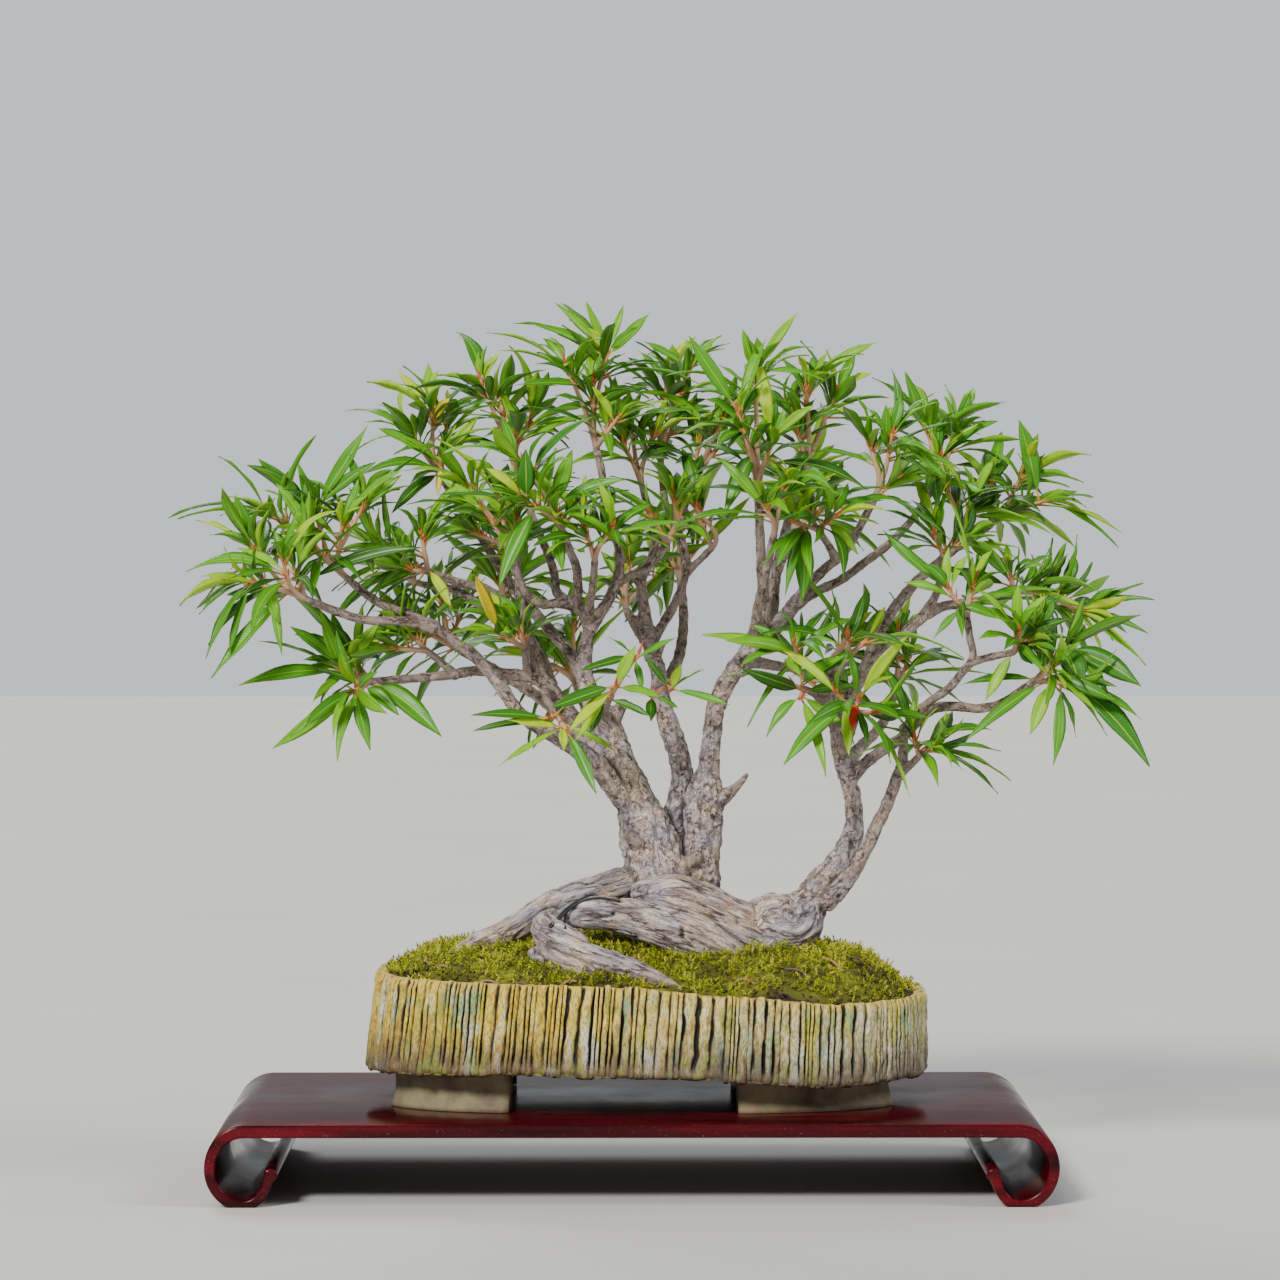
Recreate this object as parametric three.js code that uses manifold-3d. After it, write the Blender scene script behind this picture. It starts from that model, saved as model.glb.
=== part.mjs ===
// A willow-leaved bonsai in its bark-textured clay tray, on a lacquered stand with scrolled ends.
// Millimetres, +Z up, the front towards -Y. The tree is one grown solid from its surface roots to the
// ends of its bare branches. Each branch end carries a leafy spray, which is a solid of its own.
import * as THREE from "three";
import Module from "manifold-3d";

const wasm = await Module();
wasm.setup();

// Driving sizes
const GAP = 0.3; // clearance between neighbouring solids
const SLIVER = 0.03; // joined solids lose the edges that are shorter than this
const EYE = { x: -31.9, y: -3900, z: 489.5 }; // where the front view of the branches is taken from

const STAND = { left: -302, right: 279, depth: 340, height: 56.5, board: 9.1 };
const SCROLL = { radius: 27.4, foot: 32, band: 7.6, curl: 17, bead: 5.2, end: 331, steps: 15 };

const POT = {
  rimHalf: [195, 133], // half width and half depth at the rim
  footHalf: [199, 134], // the same at the lower edge of the wall
  rimShift: 3, // the wall leans outwards to the left on its way down
  footShift: -1,
  roundness: 2.8, // exponent of the oval
  wall: 10,
  floor: 96, // height of the inner floor
  under: 88, // height of the underside
  ribs: 100,
  groove: 2.4,
};
const FOOT = { half: [183, 106], shift: -3.5, wide: 17, toe: 3, start: 0.05, right: 0.182, left: 0.154 };
const SOIL = { crown: 168, sides: 20, slack: 3.6, moss: 5.5, hole: 0.5 };

const TWIG = { tip: 1.8, bud: 9, reach: 0.4, straight: 34 };
const LEAF = { golden: 2.39996, spread: 22, keel: 0.95, rise: 0.3, spare: 0.45 };

// Rim and lower edge of the hand-built tray, as [x, height] along its width
const RIM = [
  [-200, 148], [-130, 148], [-50, 146.8], [0, 144.7], [35, 140.6], [80, 137.4], [130, 132],
  [200, 133.6],
];
const EDGE = [[-200, 81], [-95, 85.5], [-50, 84], [35, 82.3], [63, 80], [130, 75], [155, 77], [200, 78]];

// Roots, trunks and branches. Each row is x, depth, height and radius: x and height are read in the
// front view on the plane y = 0, and depth is the true y of the point.
const ROOTS = {
  root_left: [
    [-5, 0, 212, 14], [-35, -5, 203, 12], [-68, -12, 192, 11.5], [-95, -20, 176, 9.5],
    [-125, -28, 163, 7.5],
    [-150, -32, 148, 5],
  ],
  root_log: [
    [-60, -42, 184, 6], [-48, -45, 187, 10.5], [-20, -46, 186, 13], [12, -46, 178, 16],
    [38, -44, 168, 16],
    [58, -38, 156, 13], [70, -32, 142, 9],
  ],
  root_wedge: [
    [-5, -28, 202, 9], [20, -30, 205, 11], [42, -26, 198, 11], [60, -18, 189, 10], [78, -8, 182, 12],
  ],
  root_knee: [[100, -5, 180, 14], [88, -15, 165, 12], [75, -25, 153, 9], [66, -32, 141, 6]],
  root_front: [
    [-64, -12, 188, 8], [-75, -42, 178, 8], [-74, -62, 172, 7], [-66, -76, 168, 8], [-50, -83, 161, 8.5],
    [-25, -92, 153, 8], [0, -101, 144, 6.5], [15, -107, 137, 4.5], [26, -111, 130, 3],
  ],
  root_fork: [[-70, -66, 170, 6], [-68, -80, 158, 7], [-50, -92, 149, 6], [-36, -98, 141, 5]],
  root_back_left: [[5, 15, 196, 16], [-20, 45, 184, 13], [-45, 72, 169, 10], [-62, 90, 150, 6]],
  root_back_right: [[34, 15, 192, 14], [60, 42, 180, 11], [85, 62, 167, 8], [102, 76, 148, 5]],
};
const TRUNKS = {
  trunk_left: [
    [14, 3, 150, 25], [12, 3, 190, 26], [4, 2, 220, 22], [0, 0, 245, 20], [-6, 0, 262, 16],
    [-16, -4, 288, 11.5],
    [-25, -8, 312, 10.5], [-32, -10, 328, 9], [-40, -8, 342, 7.5], [-44, -4, 358, 6], [-44, 0, 374, 5.5],
    [-40, 4, 393, 5],
  ],
  trunk_right: [
    [30, 4, 188, 20], [36, 2, 208, 16], [38, 0, 225, 14], [40, 0, 245, 14], [40, 0, 262, 14.5],
    [42, 0, 275, 12],
    [44, -2, 292, 8], [46, -2, 312, 7.5], [48, -4, 330, 7], [54, -6, 347, 6.8], [64, -8, 362, 7],
    [75, -10, 375, 7.5], [86, -12, 388, 7.5], [97, -12, 397, 6], [107, -12, 411, 5],
  ],
  buttress: [[24, -8, 196, 14], [14, -9, 222, 14], [10, -8, 240, 13], [4, -5, 258, 10]],
  base_right: [[70, -8, 177, 14], [85, -5, 183, 18], [104, 0, 182, 20], [116, 0, 196, 14]],
  trunk_side: [
    [110, 0, 186, 14], [118, 0, 200, 12.5], [130, 0, 216, 10], [141, 2, 232, 8.5], [147, 4, 248, 7.5],
    [147, 6, 263, 6.8], [144, 6, 279, 6.6], [139, 4, 296, 6.8], [136, 2, 312, 6], [135, 0, 325, 5.5],
  ],
  stub_left: [[-26, -9, 318, 6], [-21, -11, 330, 5], [-17, -12, 337, 4.4]],
  stub_right: [[46, -2, 266, 8], [62, -6, 276, 5.5], [71, -8, 285, 3.5]],
};
const LIMBS = {
  mid_left: [
    [-4, 4, 256, 11], [-14, 8, 275, 10], [-30, 12, 297, 10], [-45, 14, 315, 9], [-56, 14, 328, 8],
    [-66, 12, 341, 7.5], [-74, 10, 354, 6], [-79, 10, 368, 5], [-84, 12, 382, 5], [-88, 14, 396, 6],
  ],
  far_left: [
    [-8, -4, 260, 10], [-18, -6, 272, 10], [-32, -14, 289, 8], [-48, -22, 303, 7], [-66, -28, 314, 6],
    [-82, -32, 323, 5.5], [-94, -34, 334, 5], [-104, -36, 349, 5], [-114, -38, 361, 4.5],
    [-124, -40, 372, 4.5],
    [-140, -44, 383, 4], [-152, -48, 393, 3.8],
  ],
  back_middle: [
    [20, 8, 240, 11], [22, 12, 262, 10], [25, 16, 285, 8.5], [22, 20, 302, 8], [15, 24, 322, 7.5],
    [10, 27, 342, 6.5], [8, 30, 360, 6], [2, 33, 378, 5.5], [-1, 36, 395, 5.5], [-3, 38, 412, 4.5],
    [-5, 40, 428, 4],
  ],
  back_fork: [
    [3, 34, 380, 4.5], [12, 44, 394, 4], [20, 50, 408, 3.6], [26, 54, 422, 3.4], [29, 56, 438, 3.2],
  ],
  side_top: [
    [135, 0, 322, 5.2], [142, 2, 336, 5], [148, 3, 348, 5], [156, 4, 361, 5], [168, 6, 373, 4.8],
    [180, 8, 384, 4.5], [191, 10, 394, 4.3], [201, 12, 403, 4],
  ],
  second_stem: [
    [126, -4, 196, 9], [136, -8, 205, 8], [146, -12, 216, 5.5], [155, -16, 232, 5], [163, -20, 249, 4.8],
    [170, -24, 264, 4.6], [177, -28, 282, 4.4], [181, -30, 294, 4], [182, -32, 308, 3.6],
    [183, -34, 320, 3.4],
  ],
  side_fork: [[133, 0, 320, 4.6], [128, -4, 333, 4], [124, -8, 341, 3.4]],
};

// Branches that end in a leafy spray. tips are the shoots of the spray: x, depth, height and leaf count.
const SPRAYS = {
  a01: {
    branch: [
      [-88, 14, 393, 4.6], [-100, 12, 407, 4.2], [-112, 8, 416, 3.8], [-135, -2, 423, 3],
      [-155, -8, 430, 2.6],
    ],
    tips: [[-170, -14, 432, 9], [-160, -22, 458, 9], [-184, 0, 442, 8]],
  },
  a02: {
    branch: [
      [-87, 14, 392, 4.4], [-105, 24, 398, 3.5], [-120, 34, 408, 3.2], [-136, 44, 417, 3],
      [-158, 54, 421, 2.6],
    ],
    tips: [[-178, 62, 428, 9], [-190, 78, 446, 8]],
  },
  a03: {
    branch: [[-88, 14, 394, 4.4], [-90, 18, 410, 3.4], [-91, 22, 424, 3], [-92, 26, 436, 2.8]],
    tips: [[-98, 28, 456, 9], [-124, 18, 458, 9]],
  },
  a04: {
    branch: [
      [-152, -48, 391, 3.6], [-172, -54, 395, 3.2], [-200, -60, 396, 3], [-228, -66, 405, 2.8],
      [-242, -70, 411, 2.5],
    ],
    tips: [[-284, -78, 424, 9], [-280, -62, 448, 9], [-258, -94, 438, 9], [-250, -52, 432, 8]],
  },
  a05: {
    branch: [
      [-150, -47, 391, 3.6], [-168, -42, 400, 3], [-186, -36, 406, 3], [-200, -32, 415, 2.8],
      [-213, -28, 426, 2.5],
    ],
    tips: [
      [-268, -30, 472, 9], [-236, -14, 474, 9], [-216, -42, 462, 8], [-200, -16, 478, 9],
      [-238, -48, 452, 8],
    ],
  },
  a06: {
    branch: [
      [-74, 10, 354, 5], [-100, 2, 358, 3.8], [-120, -6, 360, 3.6], [-140, -14, 357, 3.4],
      [-160, -20, 355, 3.1],
      [-196, -30, 352, 2.8]],
    tips: [[-216, -34, 360, 12], [-210, -56, 344, 8], [-212, -12, 373, 9]],
  },
  a07: {
    branch: [[-136, -13, 357, 3.2], [-146, -19, 366, 2.6], [-156, -25, 374, 2.4]],
    tips: [[-168, -22, 386, 9], [-182, -34, 376, 8]],
  },
  a08: {
    branch: [[-84, 7, 356, 3.4], [-86, 0, 367, 2.6], [-87, -7, 376, 2.4]],
    tips: [[-90, -14, 392, 8], [-104, -22, 386, 8]],
  },
  a09: {
    branch: [[-66, 12, 341, 4], [-72, -10, 344, 3], [-70, -26, 338, 2.8], [-66, -38, 330, 2.4]],
    tips: [[-57, -50, 318, 8], [-68, -56, 326, 8]],
  },
  a10: {
    branch: [
      [-43, -5, 350, 5], [-57, 18, 375, 4.2], [-70, 24, 390, 4], [-82, 30, 404, 4],
      [-95, 36, 419, 3.8],
      [-105, 40, 434, 3.5], [-116, 46, 452, 3], [-130, 52, 472, 2.8], [-144, 56, 494, 2.6]],
    tips: [[-170, 60, 531, 9], [-152, 46, 548, 9], [-140, 70, 536, 8], [-146, 30, 512, 9]],
  },
  a11: {
    branch: [
      [-40, 4, 391, 4.6], [-47, 2, 403, 4.2], [-62, -4, 408, 3.6], [-73, -8, 407, 3.3],
      [-84, -12, 413, 3.2],
      [-91, -16, 425, 3], [-95, -20, 438, 2.8]],
    tips: [[-92, -30, 466, 9], [-116, -34, 474, 9], [-106, -14, 488, 9], [-128, -22, 494, 9]],
  },
  a12: {
    branch: [
      [-50, 0, 408, 3.8], [-49, -16, 421, 3.3], [-50, -32, 433, 3], [-55, -48, 446, 2.8],
      [-59, -60, 458, 2.5],
    ],
    tips: [[-66, -72, 476, 9], [-88, -80, 482, 9], [-92, -74, 512, 9]],
  },
  a13: {
    branch: [
      [-54, -1, 408, 3.8], [-64, 24, 416, 3.3], [-66, 44, 430, 3], [-74, 58, 452, 2.8],
      [-84, 64, 476, 2.6],
      [-92, 64, 500, 2.5]],
    tips: [[-118, 64, 566, 9], [-92, 48, 530, 9], [-104, 80, 552, 9], [-80, 76, 544, 9]],
  },
  a14: {
    branch: [
      [-40, 4, 391, 4.6], [-31, 8, 404, 4], [-21, 12, 424, 3.8], [-19, 14, 437, 3.3],
      [-21, 17, 450, 3],
      [-26, 20, 466, 2.9], [-29, 22, 482, 2.8], [-32, 24, 500, 2.7], [-36, 26, 518, 2.5]],
    tips: [[-38, 24, 564, 9], [-28, 34, 586, 9], [-58, 18, 578, 10], [-20, 10, 540, 9]],
  },
  a15: {
    branch: [
      [-22, 12, 422, 3.5], [-12, 14, 427, 3], [-3, 16, 431, 2.9], [7, 18, 440, 2.8],
      [14, 20, 450, 2.6],
    ],
    tips: [[24, 22, 472, 9], [2, 6, 472, 8], [18, -4, 486, 8]],
  },
  a16: {
    branch: [[-42, 2, 396, 4], [-40, -22, 410, 2.9], [-38, -44, 424, 2.6], [-37, -62, 438, 2.4]],
    tips: [[-44, -76, 462, 9], [-24, -84, 462, 8]],
  },
  b01: {
    branch: [
      [-5, 40, 426, 4.2], [4, 44, 441, 3.3], [6, 48, 455, 3], [2, 52, 472, 2.8], [-3, 55, 489, 2.5],
    ],
    tips: [[6, 54, 528, 9], [-16, 48, 520, 8], [-12, 72, 536, 9]],
  },
  b02: {
    branch: [[4, 32, 370, 5], [2, 60, 376, 4], [-6, 90, 388, 3.5], [-14, 118, 402, 3]],
    tips: [[-18, 138, 422, 9], [6, 150, 426, 8], [-10, 124, 448, 8]],
  },
  b03: {
    branch: [[10, 27, 344, 5], [22, 60, 368, 4], [26, 94, 396, 3.5], [24, 120, 424, 3]],
    tips: [[14, 142, 446, 9], [34, 146, 444, 8], [22, 134, 468, 8]],
  },
  b04: {
    branch: [
      [28, 56, 434, 3.4], [25, 58, 450, 3.1], [20, 60, 462, 2.9], [14, 62, 476, 2.7],
      [11, 66, 492, 2.5],
    ],
    tips: [[20, 88, 540, 9], [14, 92, 566, 9], [30, 72, 574, 9]],
  },
  b05: {
    branch: [[28, 55, 430, 3], [37, 50, 438, 2.5], [46, 46, 447, 2.3]],
    tips: [[36, 44, 470, 8], [34, 30, 476, 8]],
  },
  b06: {
    branch: [[21, 60, 461, 2.9], [26, 61, 474, 2.5], [31, 62, 487, 2.3]],
    tips: [[36, 58, 524, 9], [54, 50, 540, 9], [52, 76, 522, 8]],
  },
  b07: {
    branch: [[9, 28, 350, 4.5], [14, 2, 352, 3], [16, -20, 350, 2.6]],
    tips: [[17, -38, 346, 8], [3, -40, 342, 8]],
  },
  b08: {
    branch: [[-30, -10, 326, 5], [-30, -34, 334, 3.2], [-26, -54, 342, 2.7]],
    tips: [[-22, -74, 350, 8], [-30, -70, 340, 8], [-6, -60, 372, 8]],
  },
  c01: {
    branch: [
      [85, -12, 387, 5], [83, -24, 412, 3.8], [81, -36, 435, 3.5], [80, -46, 460, 3.2],
      [79, -54, 484, 3],
    ],
    tips: [[70, -60, 520, 9], [77, -50, 571, 9], [90, -74, 524, 9], [64, -74, 544, 8]],
  },
  c02: {
    branch: [
      [88, -11, 389, 5], [90, -6, 412, 3.8], [92, 0, 433, 3.5], [97, 6, 455, 3.2], [103, 12, 476, 3],
      [110, 18, 496, 2.8]],
    tips: [[106, 14, 532, 9], [134, 26, 558, 9], [113, 0, 562, 9], [98, 34, 548, 9]],
  },
  c03: {
    branch: [
      [107, -12, 409, 4.6], [116, -14, 422, 3.8], [127, -18, 433, 3.5], [138, -22, 442, 3.3],
      [146, -26, 453, 3],
      [155, -30, 470, 2.8], [162, -34, 484, 2.6]],
    tips: [[156, -40, 524, 9], [176, -36, 494, 9], [174, -52, 528, 8]],
  },
  c04: {
    branch: [[134, -21, 439, 3.2], [128, -36, 450, 2.6], [121, -48, 460, 2.4]],
    tips: [[112, -54, 478, 9], [134, -68, 470, 8], [102, -74, 466, 8]],
  },
  c05: {
    branch: [
      [106, -12, 408, 4.6], [120, -2, 416, 3.6], [137, 10, 424, 3.2], [156, 22, 438, 3],
      [174, 32, 452, 2.8],
      [190, 38, 470, 2.6], [202, 40, 488, 2.5]],
    tips: [[197, 42, 534, 9], [220, 46, 534, 9], [208, 26, 512, 8]],
  },
  c06: {
    branch: [
      [64, -8, 362, 6], [72, 25, 378, 4.4], [80, 60, 398, 3.8], [90, 95, 424, 3.4],
      [102, 122, 454, 3],
    ],
    tips: [[112, 140, 484, 9], [130, 148, 476, 8], [112, 134, 504, 9]],
  },
  c07: {
    branch: [[77, -10, 377, 5], [78, -36, 400, 3.6], [84, -60, 428, 3.1], [90, -80, 456, 2.7]],
    tips: [[97, -98, 490, 9], [82, -106, 478, 8]],
  },
  c08: {
    branch: [[66, -8, 363, 6], [74, 30, 366, 4.4], [88, 74, 364, 3.8], [100, 112, 362, 3.2]],
    tips: [[116, 138, 358, 9], [128, 132, 342, 8]],
  },
  d01: {
    branch: [[125, -7, 339, 4], [129, -14, 349, 2.9], [136, -20, 360, 2.8], [143, -24, 370, 2.6]],
    tips: [[156, -28, 382, 8], [142, -42, 386, 8]],
  },
  d02: {
    branch: [[124, -8, 340, 3.8], [118, -20, 344, 2.6], [112, -30, 347, 2.4]],
    tips: [[104, -38, 350, 9], [108, -52, 340, 8]],
  },
  d03: {
    branch: [[131, -16, 353, 3], [120, -26, 361, 2.5], [108, -34, 368, 2.3]],
    tips: [[96, -40, 374, 9], [104, -56, 380, 8]],
  },
  d04: {
    branch: [
      [200, 12, 402, 4.2], [212, 14, 406, 3.6], [228, 18, 408, 3.4], [246, 22, 411, 3.2],
      [260, 26, 415, 3],
    ],
    tips: [[270, 28, 418, 9], [308, 24, 402, 9], [288, 46, 406, 8], [258, 12, 428, 8]],
  },
  d05: {
    branch: [[199, 12, 401, 4.2], [205, 4, 414, 2.9], [209, -2, 428, 2.7], [211, -6, 440, 2.5]],
    tips: [[204, -12, 456, 9], [224, -20, 452, 8]],
  },
  d06: {
    branch: [
      [156, 4, 361, 5], [162, 16, 382, 4], [169, 26, 395, 4], [180, 34, 410, 3.8], [193, 42, 425, 3.6],
      [206, 50, 436, 3.4], [218, 56, 446, 3.2], [231, 62, 454, 3], [244, 67, 464, 2.8]],
    tips: [[244, 62, 492, 9], [266, 66, 500, 9], [258, 84, 470, 8], [281, 54, 480, 8]],
  },
  d07: {
    branch: [[211, 52, 440, 3.3], [218, 44, 452, 2.8], [224, 36, 464, 2.5]],
    tips: [[230, 26, 478, 8], [214, 20, 486, 8]],
  },
  d08: {
    branch: [
      [144, 6, 284, 5.5], [155, 0, 294, 4.3], [165, -8, 302, 4.1], [185, -18, 316, 3.7],
      [194, -24, 326, 3.5],
      [204, -30, 333, 3.4], [220, -36, 334.5, 3.3], [236, -42, 333, 3.2], [252, -48, 337, 3.1],
      [266, -54, 346, 3],
      [276, -58, 353, 2.8]],
    tips: [[304, -62, 350, 12], [296, -50, 376, 9], [288, -82, 362, 8]],
  },
  d09: {
    branch: [[181, -30, 290, 4.2], [188, -36, 294, 2.8], [193, -42, 299, 2.5]],
    tips: [[190, -52, 312, 8], [206, -54, 308, 8]],
  },
  d10: {
    branch: [
      [183, -34, 318, 3.8], [200, -44, 337, 3.1], [216, -50, 349, 3], [224, -54, 359, 2.8],
      [231, -56, 368, 2.7],
      [229, -56, 384, 2.5], [227, -56, 398, 2.4]],
    tips: [[232, -60, 424, 9], [214, -68, 418, 8]],
  },
  d11: {
    branch: [[230, -56, 366, 2.8], [246, -60, 370, 2.5], [260, -64, 373, 2.3]],
    tips: [[276, -70, 386, 9], [264, -86, 388, 8]],
  },
  d12: {
    branch: [
      [141, 4, 292, 5.2], [150, 30, 304, 4.2], [164, 58, 318, 3.6], [172, 86, 332, 3.2],
      [176, 104, 346, 2.9],
    ],
    tips: [[186, 120, 368, 9], [166, 128, 362, 8], [178, 106, 388, 8]],
  },
  d13: {
    branch: [[137, 3, 310, 5], [132, 34, 330, 3.9], [130, 66, 350, 3.4], [132, 96, 368, 3]],
    tips: [[138, 116, 378, 9], [158, 122, 372, 8], [146, 102, 390, 8]],
  },
  d14: {
    branch: [[138, 3, 300, 5], [142, -22, 310, 3.4], [146, -46, 320, 2.9], [148, -62, 330, 2.6]],
    tips: [[150, -76, 340, 9], [166, -72, 330, 9], [134, -84, 344, 8]],
  },
  e01: {
    branch: [
      [-45, 14, 315, 7], [-62, 44, 330, 4.6], [-84, 74, 346, 3.9], [-110, 102, 362, 3.4],
      [-132, 122, 374, 3],
    ],
    tips: [[-152, 134, 386, 9], [-170, 122, 394, 8], [-134, 148, 398, 8], [-146, 116, 414, 8]],
  },
  e02: {
    branch: [[-66, 12, 341, 5.5], [-72, 46, 362, 4], [-84, 80, 384, 3.4], [-98, 110, 402, 3]],
    tips: [[-106, 128, 424, 9], [-86, 142, 430, 8], [-100, 112, 458, 9]],
  },
  e03: {
    branch: [[-28, 12, 294, 7], [-34, 46, 312, 4.6], [-42, 82, 330, 3.8], [-50, 116, 350, 3.2]],
    tips: [[-56, 138, 362, 9], [-76, 140, 368, 8], [-52, 124, 394, 8]],
  },
};

// A black wire ties the roots together on the left. Its rows are x and height in the front view.
const WIRE = {
  radius: 1.2,
  seat: 0.4, // clearance between the wire and the roots
  from: -130, // the wire is pressed back on to the roots from this depth
  sides: 6,
  steps: 14,
  rows: [[-22, 199], [-36, 200], [-48, 197], [-57, 191], [-63, 185], [-69, 179]],
};

// Small tools

const vec = (x, y, z) => new THREE.Vector3(x, y, z);
const UP = vec(0, 0, 1);

// A point of the front view, moved along its ray to its true depth
function seen(x, depth, height) {
  const share = (depth - EYE.y) / -EYE.y;
  return vec(EYE.x + (x - EYE.x) * share, depth, EYE.z + (height - EYE.z) * share);
}

// Even random numbers from 0 to 1, the same each time for one seed
function lottery(seed) {
  let state = 1 + ((seed * 7919 + 104729) % 2147483645);
  return () => {
    state = (state * 16807) % 2147483647;
    return state / 2147483647;
  };
}

// Value at x of a line through [x, value] pairs
function along(table, x) {
  const next = table.findIndex(([at]) => at > x);
  if (next < 0) return table[table.length - 1][1];
  if (next === 0) return table[0][1];
  const [x0, v0] = table[next - 1];
  const [x1, v1] = table[next];
  return v0 + ((v1 - v0) * (x - x0)) / (x1 - x0);
}

// A closed shape is a list of points and a list of triangles that face outwards
function solidOf({ points, faces }) {
  const vertProperties = new Float32Array(points.flatMap((p) => [p.x, p.y, p.z]));
  const triVerts = new Uint32Array(faces.flat());
  return new wasm.Manifold(new wasm.Mesh({ numProp: 3, vertProperties, triVerts }));
}

function fuse(shapes) {
  return shapes.map(solidOf).reduce((sum, next) => sum.add(next));
}

// Rings of equal count, joined side by side and closed at both ends
function loft(rings) {
  const count = rings[0].length;
  const points = rings.flat();
  const faces = [];
  for (let r = 0; r < rings.length - 1; r++) {
    for (let i = 0; i < count; i++) {
      const a = r * count + i;
      const b = r * count + ((i + 1) % count);
      faces.push([a, b, b + count], [a, b + count, a + count]);
    }
  }
  const last = (rings.length - 1) * count;
  for (let i = 1; i < count - 1; i++) {
    faces.push([0, i + 1, i], [last, last + i, last + i + 1]);
  }
  return { points, faces };
}

// A loft that ends in a point
function spike(rings, apex) {
  const shape = loft(rings);
  const count = rings[0].length;
  const last = (rings.length - 1) * count;
  shape.faces = shape.faces.filter((face) => face.some((i) => i < last));
  shape.points.push(apex);
  for (let i = 0; i < count; i++) {
    shape.faces.push([last + i, last + ((i + 1) % count), shape.points.length - 1]);
  }
  return shape;
}

// Path of a branch from its rows: place, direction and radius
function pathOf(rows) {
  const places = rows.map(([x, depth, height]) => seen(x, depth, height));
  return places.map((at, i) => {
    const before = places[Math.max(i - 1, 0)];
    const after = places[Math.min(i + 1, places.length - 1)];
    return { at, dir: after.clone().sub(before).normalize(), r: rows[i][3] };
  });
}

// The path without the points that a straight run would pass within the tolerance
function thinned(path, tolerance) {
  if (path.length < 3) return path;
  const first = path[0];
  const last = path[path.length - 1];
  const line = new THREE.Line3(first.at, last.at);
  const offs = path.map(({ at, r }) => {
    const t = line.closestPointToPointParameter(at, true);
    return line.at(t, vec()).distanceTo(at) + Math.abs(THREE.MathUtils.lerp(first.r, last.r, t) - r);
  });
  const most = Math.max(...offs);
  if (most < tolerance) return [first, last];
  const i = offs.indexOf(most);
  return [...thinned(path.slice(0, i + 1), tolerance).slice(0, -1), ...thinned(path.slice(i), tolerance)];
}

function ringAt(node, across, sides, grow) {
  const side = across.clone().addScaledVector(node.dir, -across.dot(node.dir)).normalize();
  const other = node.dir.clone().cross(side);
  return Array.from({ length: sides }, (_, i) => {
    const angle = (2 * Math.PI * i) / sides;
    const out = side.clone().multiplyScalar(Math.cos(angle)).addScaledVector(other, Math.sin(angle));
    return node.at.clone().addScaledVector(out, node.r + grow);
  });
}

// The rings turn as little as they can from one to the next
function ringsOf(path, sides, grow = 0) {
  let across = Math.abs(path[0].dir.z) < 0.9 ? UP.clone() : vec(1, 0, 0);
  return path.map((node) => {
    across = across.clone().addScaledVector(node.dir, -across.dot(node.dir)).normalize();
    return ringAt(node, across, sides, grow);
  });
}

const tube = (path, sides, grow) => loft(ringsOf(path, sides, grow));

const STRAY = 2.1; // how far a branch's faceted path may stray from its measured points, plus a tenth of r
const sidesFor = (radius) => (radius > 20 ? 8 : radius > 7.5 ? 6 : radius > 5.2 ? 5 : 4);

// Stand: a board between two scrolls that roll under it

function extrudeAlongY(outline, depth) {
  const shape = new THREE.Shape(outline.map(([x, z]) => new THREE.Vector2(x, z)));
  const geometry = new THREE.ExtrudeGeometry(shape, { depth, bevelEnabled: false });
  geometry.rotateX(Math.PI / 2);
  geometry.translate(0, depth / 2, 0);
  return geometry;
}

function standBoard() {
  const { left, right, height, board, depth } = STAND;
  const x0 = left + SCROLL.radius + GAP / 2;
  const x1 = right - SCROLL.radius - GAP / 2;
  const outline = [[x0, height - board], [x1, height - board], [x1, height], [x0, height]];
  return extrudeAlongY(outline, depth);
}

// The band leaves the board level, rolls down and under, and ends in a bead inside the roll
function standScroll(side) {
  const end = side < 0 ? STAND.left : STAND.right;
  const centre = { x: end - side * SCROLL.radius, z: STAND.height - SCROLL.radius };
  const outer = [];
  const inner = [];
  for (let i = 0; i <= SCROLL.steps; i++) {
    const share = i / SCROLL.steps;
    const turned = share * (SCROLL.end - 90);
    const angle = THREE.MathUtils.degToRad(90 + turned);
    const swell = THREE.MathUtils.smoothstep(turned, 60, 180) * (SCROLL.foot - SCROLL.radius);
    const tuck = SCROLL.foot - SCROLL.curl - SCROLL.bead;
    const curl = THREE.MathUtils.smoothstep(turned, 175, SCROLL.end - 90) * tuck;
    const reach = SCROLL.radius + swell - curl;
    const bead = Math.max(0, (share - 0.86) / 0.14) * 2.2;
    const band = THREE.MathUtils.lerp(STAND.board, SCROLL.band, Math.min(1, share * 3)) + bead;
    outer.push([reach * Math.cos(angle), Math.max(reach * Math.sin(angle), -centre.z)]);
    inner.push([(reach - band) * Math.cos(angle), (reach - band) * Math.sin(angle)]);
  }
  const ends = [...outer, ...inner.reverse()];
  const outline = ends.map(([x, z]) => [centre.x - side * x, centre.z + z]);
  const shift = (-side * GAP) / 2;
  const placed = outline.map(([x, z], i) => (i === 0 || i === outline.length - 1 ? [x - shift, z] : [x, z]));
  return extrudeAlongY(side < 0 ? placed : placed.reverse(), STAND.depth);
}

// Tray: an oval wall of upright ribs, with a level floor and four low corner feet

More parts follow.
